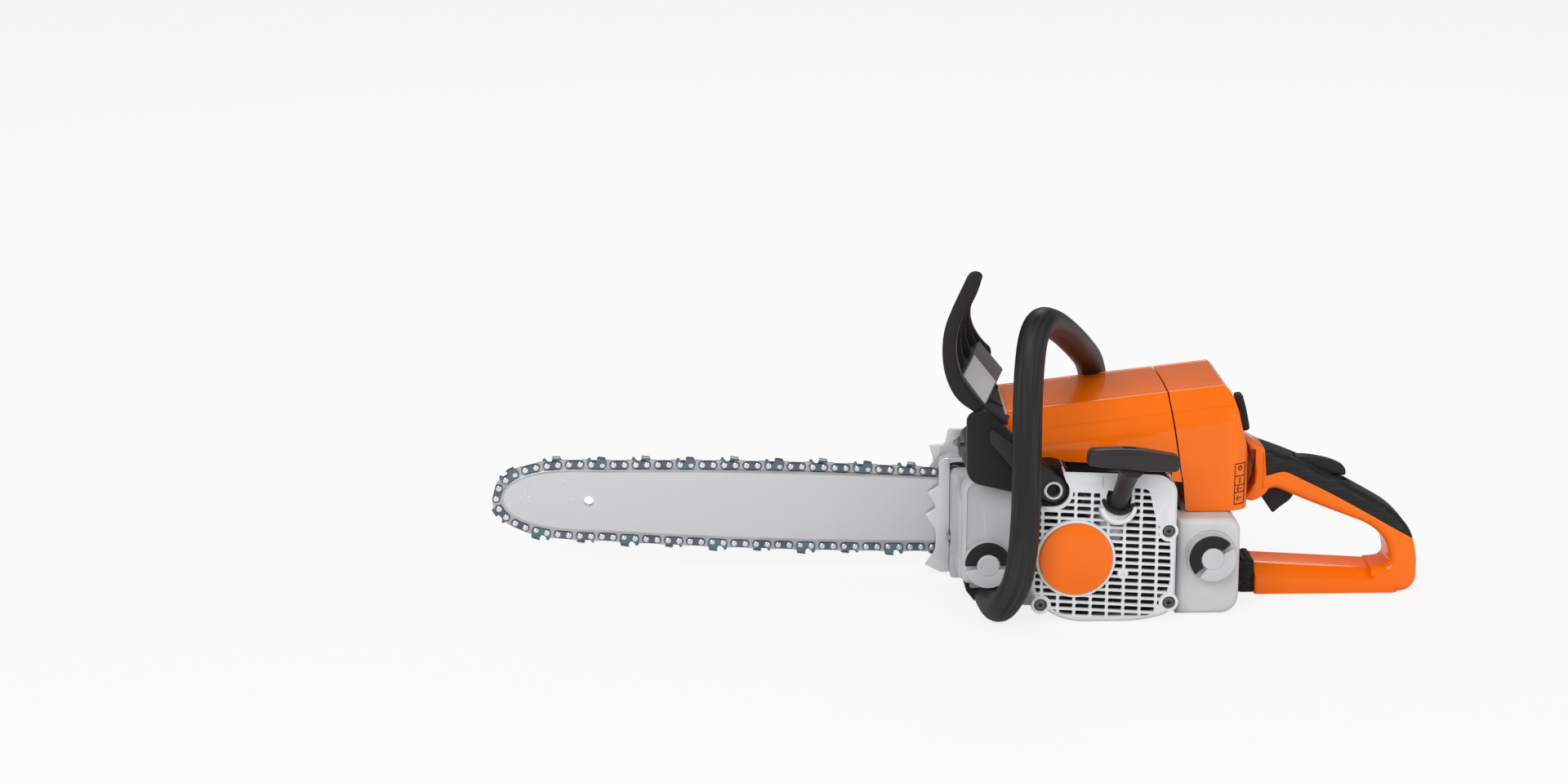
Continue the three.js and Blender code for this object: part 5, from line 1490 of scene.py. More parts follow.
    def build_spikes(self) -> None:
        """Build the spiked bumper on each side of the bar."""
        inner = [(-78.4, 1.2, 1), (-78.4, 87.8, 1), (-83.5, 87.8, 1.5), (-86.6, 84.6, 0.8), (-86.2, 74, 20),
                 (-86.5, 67, 2), (-94.2, 61.6, 0.5), (-87.7, 50, 3), (-95.8, 44.9, 0.5), (-87.9, 33, 5),
                 (-88.4, 18, 4), (-95.8, 7, 0.6), (-84, 1.2, 1.5)]
        made = Shape.slab(inner, *self.spike_inner, (0.5, 0.5), arc=5, steps=2)
        made.piece("spike_plate_inner", Finish.SPIKE, "saw_body", "spike_alloy", ["bumper_spike_inner"])
        outer = [(-84.4, 12.2, 1), (-88, 12.2, 1.5), (-96.8, 20, 0.6), (-88.4, 32, 4), (-96.8, 44, 0.6),
                 (-88.4, 56, 4), (-96.8, 68, 0.6), (-88.4, 80, 3), (-91.8, 91.8, 0.8), (-80.4, 92.6, 2),
                 (-78, 104.4, 2.5), (-63.7, 104.4, 2.5), (-63.7, 83.6, 2), (-84.4, 83.6, 1)]
        made = Shape.slab(outer, *self.spike_outer, (0.5, 0.5), arc=5, steps=2)
        made.cut(Shape.bore(-71, 94, 50, 70, 3.2))
        made.piece("spike_plate_outer", Finish.SPIKE, "sprocket_cover", "spike_alloy", ["bumper_spike_outer"])
        screw = Shape.rod((-71, 57, 94), (-71, 62.6, 94), 3.0, edge=0.5)
        screw.add(Shape.rod((-71, 61.2, 94), (-71, 63.6, 94), 5.2, sides=6, edge=0.5))
        screw.piece("spike_screw", Finish.STEEL, "sprocket_cover", "steel")

    def cover_outline(self, inset: float) -> list[Corner]:
        """Give the sprocket cover's side view, shrunk by an inset.

        Args:
            inset: How far it is shrunk.

        Returns:
            The corners.
        """
        i = inset
        return [(-84 + i, 1 + i, 9), (-84 + i, 83 - i, 9), (-56, 83 - i, 6), (-46, 92 - i, 9),
                (50 - i, 92 - i, 24), (50 - i, 1 + i, 20)]

    def build_cover(self) -> None:
        """Build the sprocket cover: a rounded shell with ribs, nut wells and the way out for chips."""
        line = self.line
        rim, face = self.cover_rim, self.cover_face
        shell = Shape.slab(self.cover_outline(0), rim, face, (0, 6.2), arc=8, steps=6)
        shell.cut(Shape.slab(self.cover_outline(2.5), rim - 2, face - 2.5, (0, 4), arc=6),
                  Shape.box((-99, -49), (rim - 9, 53.3), (-5, 86)))
        wells = [self.stub(d, 12.5, 48.65, face - 1) for d in self.studs]
        shell.join(*wells)
        panel = [(-36, 30, 5), (-36, 78, 8), (38, 78, 16), (38, 22, 12), (-8, 22, 12)]
        ribs = [Shape.slab(rectangle(-29 + 9 * k, -25.5 + 9 * k, 28 + max(0, 4 - k) * 3, 72, 1.4),
                           face - 2, face - 0.5, (0, 0.4), arc=3, steps=2) for k in range(7)]
        shell.cut(Shape.slab(panel, face - 1.3, face + 2, (0.6, 0)),
                  *(self.stub(d, 10, 62, face + 3) for d in self.studs),
                  *(self.stub(d, 4.3, 40, 64) for d in self.studs), Shape.box((30, 60), (50, 74), (-5, 20)))
        shell.join(*ribs)
        shell.piece("sprocket_cover_shell", Finish.WHITE, "sprocket_cover", "light_grey", ["sprocket_cover"])
        for name, d in (("front", self.studs[0]), ("rear", self.studs[1])):
            nut = Shape.lathe([(4.4, 0.2), (8.4, 0.2), (8.4, 5.2), (7.2, 6.6), (4.9, 6.6), (4.3, 6),
                               (4.3, 0.2), (4.4, 0.2)], line.spot(d, 0, 16.3), (0, 1, 0), 6)
            washer = Shape.tube((4.4, 8.6), (0.0, 1.3), line.spot(d, 0, 16.2), (0, 1, 0), 40)
            nut.add(washer).soften(0.3, 40).piece(f"bar_nut_{name}_hex", Finish.STEEL, "sprocket_cover",
                                                  "steel", [f"bar_nut_{name}"])

    def stub(self, d: float, radius: float, low: float, high: float) -> Shape:
        """Make a round bar across the saw at a distance along the bar's axis."""
        x, _, z = self.line.spot(d)
        return Shape.bore(x, z, low, high, radius, 40)

    def build(self) -> None:
        """Build all of the cutting gear."""
        self.build_bar()
        self.build_nose()
        self.build_chain()
        self.build_spikes()
        self.build_cover()


# ---- handles


@dataclass
class FrontHandle:
    """The tubular front handle, from its foot under the saw over the top to its seat on the right."""

    radius: float = 10.3
    line: tuple[Point, ...] = (
        (-57, -8, 10.4), (-57.5, -45, 10.4), (-55, -82, 10.8), (-50, -102.5, 20), (-42, -110.8, 42),
        (-38.3, -111.2, 80), (-38, -111.2, 125), (-38, -111.2, 165), (-37, -110.5, 192), (-34, -105, 210),
        (-28, -95, 217.6), (-17, -66, 210.4), (-6, -38, 199), (4.5, -10, 186), (14, 18, 173),
        (22.5, 41, 159.5), (28, 57, 141), (30, 62.6, 119), (30, 63.2, 98.4))

    def build(self) -> None:
        """Build the tube, its seat, the seat's screw and the rubber buffer at the foot."""
        tube = Shape.sweep(self.line, self.radius, 32, 4)
        tube.map_tube(32)
        tube.piece("front_handle_tube", Finish.HANDLE, "saw_body", "black_rubber", ["front_handle"], 60)
        x, y, z = self.line[-1]
        seat = Shape.lathe([(0, 0), (self.radius, 0), (self.radius, 17), (9.72, 20), (0, 20)],
                           (x, y, z - 1), (0, 0, 1), 40)
        seat.piece("front_handle_seat", Finish.BLACK, "saw_body", "black_plastic")
        screw = Shape.lathe([(0, 10.6), (3, 10.6), (3.9, 9.9), (3.9, 7), (0, 7)], (x, y, z + 8), (0, 1, 0),
                            28)
        screw.cut(Shape.lathe([(0, 8.4), (1.7, 8.4), (1.7, 12), (0, 12)], (x, y, z + 8), (0, 1, 0), 6))
        screw.piece("front_handle_screw", Finish.STEEL, "saw_body", "steel")
        buffer = Shape.lathe([(0, -7.3), (7.6, -7.3), (8.7, -6), (8.7, 1), (7.4, 2.4), (7.4, 5), (8.7, 6.4),
                              (8.7, 12), (7.4, 13.4), (7.4, 16), (8.7, 17.4), (8.7, 22.4), (7.6, 23.5),
                              (0, 23.5)],
                             (-57, 0, 10.2), (0, 1, 0), 40)
        buffer.piece("front_buffer", Finish.RUBBER, "saw_body", "black_rubber", ["av_buffer_front"])


@dataclass
class HandGuard:
    """The swept-back hand guard: a rimmed and ribbed sheet on a side panel and a pivoting arm."""

    left: float = -75.0
    right: float = 54.0
    sweep: float = 0.22
    bend_from: float = 168.0
    bend_height: float = 82.0
    top_straighter: float = 0.125
    top_fall: float = 0.2
    rim: tuple[Corner, ...] = (
        (-75.5, 250.2, 4.5), (-67.3, 247, 4.5), (-74.4, 228, 12), (-83.4, 211, 16), (-85.5, 193, 16),
        (-80.5, 172, 14), (-66, 153.5, 8), (-48.5, 143.8), (-48.5, 139.5), (-68, 147.4, 8),
        (-84.5, 158.5, 14), (-92.2, 175, 14), (-94.8, 193, 16), (-92.8, 211, 14), (-85.8, 228, 14))
    web: tuple[Corner, ...] = (
        (-84.8, 229, 3), (-91.5, 211, 14), (-93.4, 193, 16), (-90.5, 175.6, 14), (-83.4, 160, 12),
        (-67.6, 149.2, 8), (-48.5, 141.6), (-48.5, 143.4), (-66.6, 151.8, 8), (-81, 162.2, 12),
        (-87.6, 177, 14), (-90.3, 193, 16), (-88.5, 210, 14), (-81.6, 227, 3))
    tip: tuple[Corner, ...] = (
        (-75.5, 250.2, 4.5), (-67.3, 247, 4.5), (-75.6, 226, 5), (-80, 219, 3), (-88.6, 222, 4),
        (-85.2, 229, 10))

    def swept(self, outline: Iterable[Corner], low: float, high: float, rounds: tuple[float, float],
              rise: float = 0.0) -> Shape:
        """Make a slab across the guard that falls back to the right as it goes.

        Args:
            outline: The slab's side view.
            low: Its left end.
            high: Its right end.
            rounds: The rounding at both ends.
            rise: Its climb for each length across.

        Returns:
            The slab.
        """
        made = Shape.slab(list(outline), low, high, rounds, arc=8, steps=4)
        for vert in made.mesh.verts:
            across = vert.co.y - self.left
            climb = min(max((vert.co.z - self.bend_from) / self.bend_height, 0), 1)
            vert.co.x += across * (self.sweep - self.top_straighter * climb)
            vert.co.z += across * (rise - self.top_fall * climb)
        return made

    def build_sheet(self) -> Shape:
        """Build the web, its two rims, the ribs behind it and the thick tip bar."""
        made = self.swept(self.web, self.left + 4, self.right - 4, (0, 0))
        made.join(self.swept(self.rim, self.left, self.left + 9.5, (1.5, 1)))
        made.join(self.swept(self.rim, self.right - 7, self.right, (1, 1.5)))
        made.join(self.swept(self.tip, self.left + 1, self.right - 1, (2, 2)))
        inner = [(x + 0.9, z + (0.6 if z > 190 else -0.4), *rest) for x, z, *rest in self.rim]
        for place in (-46, -8, 26):
            made.join(self.swept(inner, place, place + 1.7, (0.5, 0.5)))
        above = [(-84.2, 172.9), (-65.2, 150.4), (-54, 158), (-73, 185)]
        made.cut(self.swept(above, -65.6, 35.6, (0, 0), 0.03))
        wedge = [(-83.6, 172.6, 1), (-81.4, 172.4, 1), (-65.6, 151.0, 1), (-68.6, 150.8), (-83, 160.6, 6),
                 (-89, 176)]
        made.join(self.swept(wedge, -66, 36, (0.8, 0.8), 0.03))
        made.cut(Shape.box((-48.3, 40), (-60, 70), (100, 172)))
        return made

    def build(self) -> None:
        """Build the guard, its panel and arm, the label plate and the bare label."""
        x, z = GUARD_PIVOT
        guard = self.build_sheet()
        panel = [(-76.6, 148, 5), (-76, 100.6, 9), (x, z - 9), (x + 6.4, z + 6.4), (-44.5, 134.6, 3),
                 (-64, 153, 4)]
        guard.join(Shape.slab(panel, -80, -73.6, (1.3, 0), arc=8))
        guard.piece("hand_guard_shell", Finish.BLACK, "hand_guard", "black_plastic", ["hand_guard"], 38)
        arm = [(x - 6, z - 8.8, 4), (x + 9.6, z - 2, 7), (x + 7, z + 7.4, 5), (-44.4, 127.6, 6),
               (-60, 141, 4), (-62, 131, 6), (-48, 115, 8)]
        made = Shape.slab(arm, -84, -78.9, (1.2, 0), arc=8)
        made.join(Shape.lathe([(0, -84), (8.4, -84), (9.4, -83), (9.4, -74.1), (0, -74.1)], (x, 0, z),
                              (0, 1, 0), 48))
        made.cut(Shape.bore(x, z, -90, -60, 7.1, 48))
        made.piece("hand_guard_arm", Finish.CHARCOAL, "hand_guard", "black_plastic", [], 38)
        plate = [(-82.4, 173.2, 0.4), (-81.3, 173.8, 0.4), (-64.8, 151.3, 0.4), (-65.8, 150.6, 0.4)]
        self.swept(plate, -65.4, 35.4, (0.3, 0.3), 0.03).piece("guard_label_plate", Finish.PLATE,
                                                               "hand_guard", "black_plastic")
        label = [(-80.9, 172.8), (-80.2, 173.3), (-65.2, 152.9), (-65.9, 152.4)]
        self.swept(label, -62, -4, (0, 0), 0.03).piece("guard_label_blank", Finish.LABEL, "hand_guard",
                                                         "light_grey")


@dataclass
class RearHandle:
    """The orange rear handle with its soft grip, the trigger, lockout and control lever."""

    left: float = -24.0
    right: float = 14.0
    trigger_pin: Point2 = (147.0, 83.0)
    lever_pin: Point2 = (125.5, 87.0)

    def loop(self) -> Shape:
        """Build the grip, heel and lower bar as one rounded loop."""
        grip = [(138, 110.2), (172, 97.4, 40), (206, 79.6, 40), (238, 61, 16), (250.6, 47, 14),
                (256, 30, 18), (256.3, 0.2, 13), (222, 0.2), (222, 19.3), (227, 19.2, 8),
                (236.3, 21, 9), (234.5, 38, 18), (221, 50.4, 16), (176, 68, 22), (160, 75, 8), (151, 79, 6),
                (138, 74)]
        made = Shape.slab(grip, self.left, self.right, (6.4, 6.4), arc=9, steps=6)
        slope = Matrix.Identity(4)
        slope[2][0], slope[2][3] = -0.062, 8.8
        section = [(self.left, -20), (self.left, 14.0, 1.6), (self.left + 9, 21.4, 2.4), (6, 24.2, 3),
                   (self.right, 20, 3), (self.right, -20)]
        bar = Shape.slab(section, 137, 244, plane=Plane.YZ, arc=4).turn(slope)
        foot = Shape.box((137, 244), (-30, 20), (0.2, 30))
        plan = Shape.slab([(138, self.left, 2), (243, self.left, 6), (243, self.right, 6),
                           (138, self.right, 2)], -5, 40, plane=Plane.XY)
        made.join(bar.meet(foot).meet(plan).soften(1.2, 30))
        return made

    def collar(self) -> Shape:
        """Build the neck ring that the grip grows from."""
        ring = [(127.8, 115.4, 3), (136, 111.4, 4), (146, 106, 3), (152, 95, 6), (150, 84, 5), (143, 73.4, 4),
                (134, 68.7, 4), (128, 71.8, 2), (135, 80, 14), (136.6, 92, 14), (133.4, 106, 14)]
        return Shape.slab(ring, self.left + 1, self.right - 1, (1.8, 1.8), arc=8)

    def inlay(self, grow: float) -> Shape:
        """Make the region of the soft inlay.

        Args:
            grow: How far the region's edge is moved out.

        Returns:
            The region.
        """
        side = [(141 - grow, 130), (144 - grow, 88.6 - grow, 1), (157, 92.4 - grow, 5),
                (196, 72.8 - grow, 16), (230, 53.2 - grow, 16), (260, 36 - grow), (280, 130)]
        return Shape.slab(side, -60, 60, arc=8)

    def slots(self) -> list[Shape]:
        """Make the slots that the trigger and the lockout swing in."""
        return [Shape.box((141.5, 170), (-12, 2), (50, 92)), Shape.box((166, 207), (-13, 3), (78, 120))]

    def build_handle(self) -> None:
        """Build the shell and the grip from one form, split along the inlay's edge."""
        whole = self.loop().join(self.collar())
        shell = whole.copy().cut(self.inlay(0.25), *self.slots())
        foot_plate = Shape.slab([(150, 0.1, 4), (150, 8, 3), (244, 8, 3), (244, 0.1, 4)], self.right - 3, 42,
                                (0, 1.5), arc=4)
        tray = Shape.box((84, 118), (-38, 38), (70.4, 74), 0.8)
        neck = Shape.box((110, 131), (-15, 14.8), (70.7, 79.6), 1.2)
        pedestal = Shape.box((86, 100), (-15, 15), (73.2, 87.5), 0.8)
        ear = Shape.slab([(122, 76), (134, 76), (134, 90, 4), (122.4, 91, 4)], self.left + 11.4, 10,
                         (0.8, 0.8))
        notch = Shape.box((121, 136), (-40, self.left + 11), (82, 108))
        shell.join(foot_plate, tray, neck, pedestal, ear).cut(notch)
        pins = [Shape.rod((x, low, z), (x, high, z), 1.6, sides=20, edge=0.2)
                for (x, z), low, high in ((self.trigger_pin, -13, 3),
                                          (self.lever_pin, -29.5, self.left + 12))]
        shell.piece("rear_handle_shell", Finish.ORANGE, "saw_body", "orange_gloss", ["rear_handle"], 34)
        Shape().add(*pins).piece("control_pins", Finish.STEEL, "saw_body", "steel")
        grip = whole.meet(self.inlay(0)).cut(self.slots()[1])
        grip.piece("rear_grip_inlay", Finish.GRIP, "saw_body", "black_rubber", ["rear_grip"], 34)

    def build_controls(self) -> None:
        """Build the trigger, the lockout on top of the grip and the control lever."""
        side = [(142.8, 70, 2), (152, 56.6, 3), (155.5, 60.2, 5), (165.6, 67.6, 4), (168, 76, 3),
                (160, 87.6, 4), (146, 87.6, 4), (142.8, 80, 3)]
        trigger = Shape.slab(side, -10.4, 0.4, (1.6, 1.6), arc=8)
        trigger.cut(Shape.bore(*self.trigger_pin, -20, 10, 1.9))
        trigger.piece("throttle_trigger_blade", Finish.BLACK, "throttle_trigger", "black_plastic",
                      ["throttle_trigger"])
        side = [(166.8, 85, 2), (166.8, 99.2, 2), (176, 99.4, 10), (195, 95.4, 10), (203.8, 90.4, 4),
                (204.2, 84.4, 2), (180, 87, 8)]
        Shape.slab(side, -10.9, 0.9, (2, 2), arc=8).piece(
            "throttle_lockout_pad", Finish.BLACK, "throttle_lockout", "black_plastic", ["throttle_lockout"])
        side = [(122.6, 84.1, 3), (122.6, 98, 6), (126, 106.2, 2), (130.6, 104, 2), (128, 94, 8),
                (128, 84.1, 3)]
        lever = Shape.slab(side, -29.8, self.left + 8.8, (1, 1), arc=6)
        lever.cut(Shape.bore(*self.lever_pin, -40, 0, 1.9))
        lever.piece("control_lever_blade", Finish.BLACK, "master_control_lever", "black_plastic",
                    ["master_control_lever"])

    def build_buffers(self) -> None:
        """Build the rear rubber buffer and the boot inside the neck ring, dark orange as painted shade."""
        side = [(119.1, 9, 2), (119.1, 26.8, 3), (126, 26.4, 2), (131, 25.2, 2), (137.7, 24.8, 1.5),
                (137.7, 0.7, 1), (124.4, 0.7, 5)]
        block = Shape.slab(side, self.left + 2.2, self.right - 2.2, (2, 2), arc=6)
        groove = [Shape.box((127.2, 128.6), (-40, 40), (24.2, 40)),
                  Shape.box((132.2, 133.6), (-40, 40), (24, 40))]
        block.cut(*groove)
        block.piece("rear_buffer", Finish.RUBBER, "saw_body", "black_rubber", ["av_buffer_rear"])
        boot = Shape.lathe([(0, 0), (15.2, 0), (16.2, 1.6), (14.6, 3.4), (16.4, 5.2), (14.8, 7.0),
                            (15.8, 8.8), (14.6, 10.4), (0, 12.4)], (123.4, -4.6, 93), (1, 0, 0), 40)
        # The boot takes dark orange as painted shade of the neck's interior.
        boot.piece("neck_boot", Finish.ORANGE_DEEP, "saw_body", "black_rubber")

    def build(self) -> None:
        """Build the whole rear handle."""
        self.build_handle()
        self.build_controls()
        self.build_buffers()


# ---- housing


@dataclass
class Housing:
    """The crankcase with the oil tank in front and the fuel tank behind."""

    left: float = -45.7
    right: float = 42.0
    tank_top: float = 69.9
    line: BarLine = field(default_factory=BarLine)

    def crank(self, radius: float, low: float, high: float) -> Shape:
        """Make a round bar about the crankshaft's line."""
        return Shape.bore(0, CRANK_Z, low, high, radius, 64)

    def build_crankcase(self) -> None:
        """Build the crankcase casting with its recesses, the bar's pad, the foot and the handle's lug."""
        core = [(-78, 20.5, 2), (-78, 79.6, 5), (-62, 79.6, 3), (-57, 95.8, 4), (71, 95.8, 4),
                (71, self.tank_top, 1), (80, self.tank_top), (80, 0.2), (-36, 0.2, 6), (-36, 20.5, 4)]
        case = Shape.slab(core, self.left, self.right, (0.6, 1.2))
        pad = rectangle(-79, -28, -20.8, 20.8, 6)
        pad = Shape.slab(pad, -6, -2.7).turn(self.line.matrix())
        foot = Shape.box((-78, -50), (24, self.right), (0.2, 22), 1.5)
        lug = Shape.box((14, 46), (36, 74.8), (92.4, 96.9), 1.5)
        case.join(pad, foot, lug)
        slot = rectangle(-84, -36, -22, -12)
        case.cut(self.crank(27, -15, 15), self.crank(17.6, -25.6, 25.6), self.crank(9, -30, 28),
                 self.crank(43, self.left - 2, -27), self.crank(40, 26.5, self.right + 3),
                 Shape.rod((0, 0, CRANK_Z), (0, 0, 99), 24.2, edge=SQUARE_END),
                 Shape.box((-22, 2), (17, 28), (8, 20)), Shape.slab(slot, -18, 1).turn(self.line.matrix()))
        case.piece("crankcase_casting", Finish.TANK, "saw_body", "light_grey", ["engine_housing"])
        bolts = Shape()
        for x, z in ((-66, 88), (62, 88), (62, 30), (62, 8), (-28, 8)):
            bolts.add(Shape.rod((x, self.right - 2, z), (x, self.right + 2.4, z), 3.6, sides=6, edge=0.3))
        bolts.piece("crankcase_bolts", Finish.STEEL, "saw_body", "steel")

    def build_oil_tank(self) -> None:
        """Build the oil tank: a rounded front body with a bordered panel and a shaded ledge."""
        outline = [(-77, 20.8, 5), (-77, 98.6, 11), (-41, 98.6, 4), (-41, 20.8, 4)]
        tank = Shape.slab(outline, OIL_FACE, self.left + 0.5, (3.4, 0), arc=8, steps=5)
        panel = [(-74.2, 25.8, 4), (-74.2, 95.6, 9), (-38, 95.6), (-38, 25.8)]
        tank.cut(Shape.slab(panel, OIL_FACE - 3, OIL_FACE + 1.1, (0, 0.7), arc=8),
                 self.neck(OIL_FILLER, OIL_FACE))
        tank.add(self.neck_ring(OIL_FILLER, OIL_FACE + 1.1))
        tank.piece("oil_tank_shell", Finish.TANK, "saw_body", "light_grey")
        ledge = [(-71, 16.6, 1), (-71, 21.4, 1), (-37, 21.4, 1), (-37, 16.6, 1)]
        ledge = Shape.slab(ledge, OIL_FACE + 3, self.left, (1.2, 0))
        ledge.piece("oil_tank_ledge", Finish.LEDGE, "saw_body", "light_grey")
        skid = [(-74, 14, 3), (-64, 1.2, 4), (-38, 1.2, 4), (-38, 20, 1), (-74, 20, 1)]
        skid = Shape.slab(skid, -52, 20, (1.5, 1.5)).cut(Shape.box((-67, -47), (-60, 24.2), (-2, 19.6)))
        skid.piece("front_skid", Finish.PANEL, "saw_body", "black_plastic")

    def build_fuel_tank(self) -> None:
        """Build the white fuel tank behind the starter."""
        outline = [(74, 0.2), (74, self.tank_top), (118.6, self.tank_top, 9), (118.6, 0.2, 13)]
        tank = Shape.slab(outline, FUEL_FACE, self.right, (5.4, 3), arc=10, steps=6)
        tank.cut(self.neck(FUEL_FILLER, FUEL_FACE))
        dish = Shape.lathe([(0, -0.1), (17.6, -0.1), (18.4, 0.5), (0, 0.5)],
                           (FUEL_FILLER[0], FUEL_FACE + 0.45, FUEL_FILLER[1]), sides=64)
        tank.cut(dish)
        tank.piece("fuel_tank_shell", Finish.FUEL, "saw_body", "light_grey")

    def neck(self, place: Point2, face: float) -> Shape:
        """Make the hole under a filler cap."""
        return Shape.bore(*place, face - 4, face + 9, 13, 48)

    def neck_ring(self, place: Point2, face: float) -> Shape:
        """Make the raised ring round a filler's hole."""
        profile = [(13.1, -3), (13.1, 0.7), (15.2, 0.7), (16, 0.1), (16, -3), (13.1, -3)]
        return Shape.lathe(profile, (place[0], face, place[1]), sides=56)

    def build(self) -> None:
        """Build the housing."""
        self.build_crankcase()
        self.build_oil_tank()
        self.build_fuel_tank()


@dataclass
class FillerCap:
    """A filler cap: a pale disc and bowl, and a black folding wing that curves round the disc."""

    name: str
    x: float
    z: float
    face: float
    turn: float = 0.0
    arc_from: float = 0.0
    arc_to: float = 180.0
    bowl_from: float = 194.0
    bowl_to: float = 346.0
    radius: float = 16.4
    disc: float = 8.0

    def sector(self, inner: float, outer: float, start: float, end: float) -> list[Corner]:
        """Give a ring sector between two radii and two angles.

        Args:
            inner: The inner radius.
            outer: The outer radius.
            start: The first angle in degrees.
            end: The last angle in degrees.

        Returns:
            The corners.
        """
        count = 28
        angles = [math.radians(start + (end - start) * k / count) for k in range(count + 1)]
        out = [(outer * math.cos(a), outer * math.sin(a)) for a in angles]
        return out + [(inner * math.cos(a), inner * math.sin(a)) for a in reversed(angles)]

    def placed(self, shape: Shape) -> Shape:
        """Turn a shape of the cap's own frame to its place on the tank."""
        return shape.spun(self.turn).move((self.x, self.face, self.z))

    def build(self) -> None:
        """Build the cap's body and its wing."""
        body = Shape.lathe([(0, -12.2), (self.disc - 1, -12.2), (self.disc, -11.4), (self.disc, -8),
                            (self.radius - 1, -8), (self.radius, -7.2), (self.radius, -0.4), (12.5, -0.4),
                            (12.5, 4.8), (0, 4.8)], (0, 0, 0), (0, 1, 0), 64)
        bowl = Shape.slab(self.sector(self.disc - 0.4, self.radius, self.bowl_from, self.bowl_to), -12.1,
                          -7.5, (0.9, 0))
        body.join(bowl.cut(Shape.box((-20, 20), (-30, 9), (-2.5, 20))))
        body.cut(Shape.lathe([(0, -12.9), (5.9, -12.9), (6.3, -12.15), (0, -12.15)], (0, 0, 0), (0, 1, 0),
                             48))
        self.placed(body).piece(f"{self.name}_body", Finish.GREY, self.name, "light_grey", [self.name])
        outline = self.sector(self.disc + 0.7, self.radius, self.arc_from, self.arc_to)
        wing = Shape.slab(outline, -12.25, -8.35, (0.9, 0.2), steps=3)
        self.placed(wing).piece(f"{self.name}_wing", Finish.BLACK, f"{self.name}_flap", "black_plastic",
                                [f"{self.name}_flap"])


class FillerCaps:
    """Both filler caps."""

    def build(self) -> None:
        """Build the oil cap and the fuel cap."""
        FillerCap("oil_cap", *OIL_FILLER, OIL_FACE).build()
        FillerCap("fuel_cap", *FUEL_FILLER, FUEL_FACE, turn=-42.0).build()


@dataclass
class Muffler:
    """The pressed-steel silencer in front of the cylinder."""

    low: float = 96.4
    outlet: float = 4.2

    def build(self) -> None:
        """Build the silencer's two halves, their flange, its outlet and its bolts."""
        base = self.low
        side = [(-73, base, 3), (-73, base + 15.5, 8), (-60, base + 22, 9), (-41.6, base + 22, 3),
                (-41.6, base, 3)]
        body = Shape.slab(side, -30, 30, (4, 4), arc=8)
        flange = [(x + (1.6 if x < -60 else 0), z, *rest) for x, z, *rest in side]
        body.join(Shape.slab(flange, -31.8, -29.4, (0.6, 0.6)).move((0, 31, 0)))
        ribs = [Shape.slab([(-74.2, base + 3, 1), (-74.2, base + 11, 1), (-71, base + 11), (-71, base + 3)],
                           y, y + 3, (0.8, 0.8)) for y in (-24, -17, -10, 8, 15, 22)]
        body.join(*ribs)
        bore, height = self.outlet, base + 8
        pipe = Shape.lathe([(bore, -6), (bore, 2.4), (5.4, 2.4), (5.8, 1.8), (5.8, -6), (bore, -6)],
                           (-72.6, 0, height), (-1, 0, 0), 36)
        hole = Shape.rod((-80, 0, height), (-66, 0, height), bore, edge=SQUARE_END)
        body.join(pipe.copy()).cut(hole)
        bolts = Shape()
        for y in (-20, 20):
            bolts.add(Shape.rod((-54, y, base + 20), (-54, y, base + 24.4), 3.4, sides=6, edge=0.4))
        body.piece("muffler_shell", Finish.DARK_STEEL, "saw_body", "dark_steel", ["muffler"])
        bolts.piece("muffler_bolts", Finish.STEEL, "saw_body", "steel")
        boot = Shape.lathe([(0, 0), (6.6, 0), (7, 1), (6.2, 3), (7, 5), (6.2, 7), (6.8, 9), (6.4, 22),
                            (4.6, 25), (0, 25)], (24, 0, 136), (1, 0, 0.18), 36)
        boot.piece("plug_boot", Finish.RUBBER, "saw_body", "black_rubber", ["spark_plug_boot"])


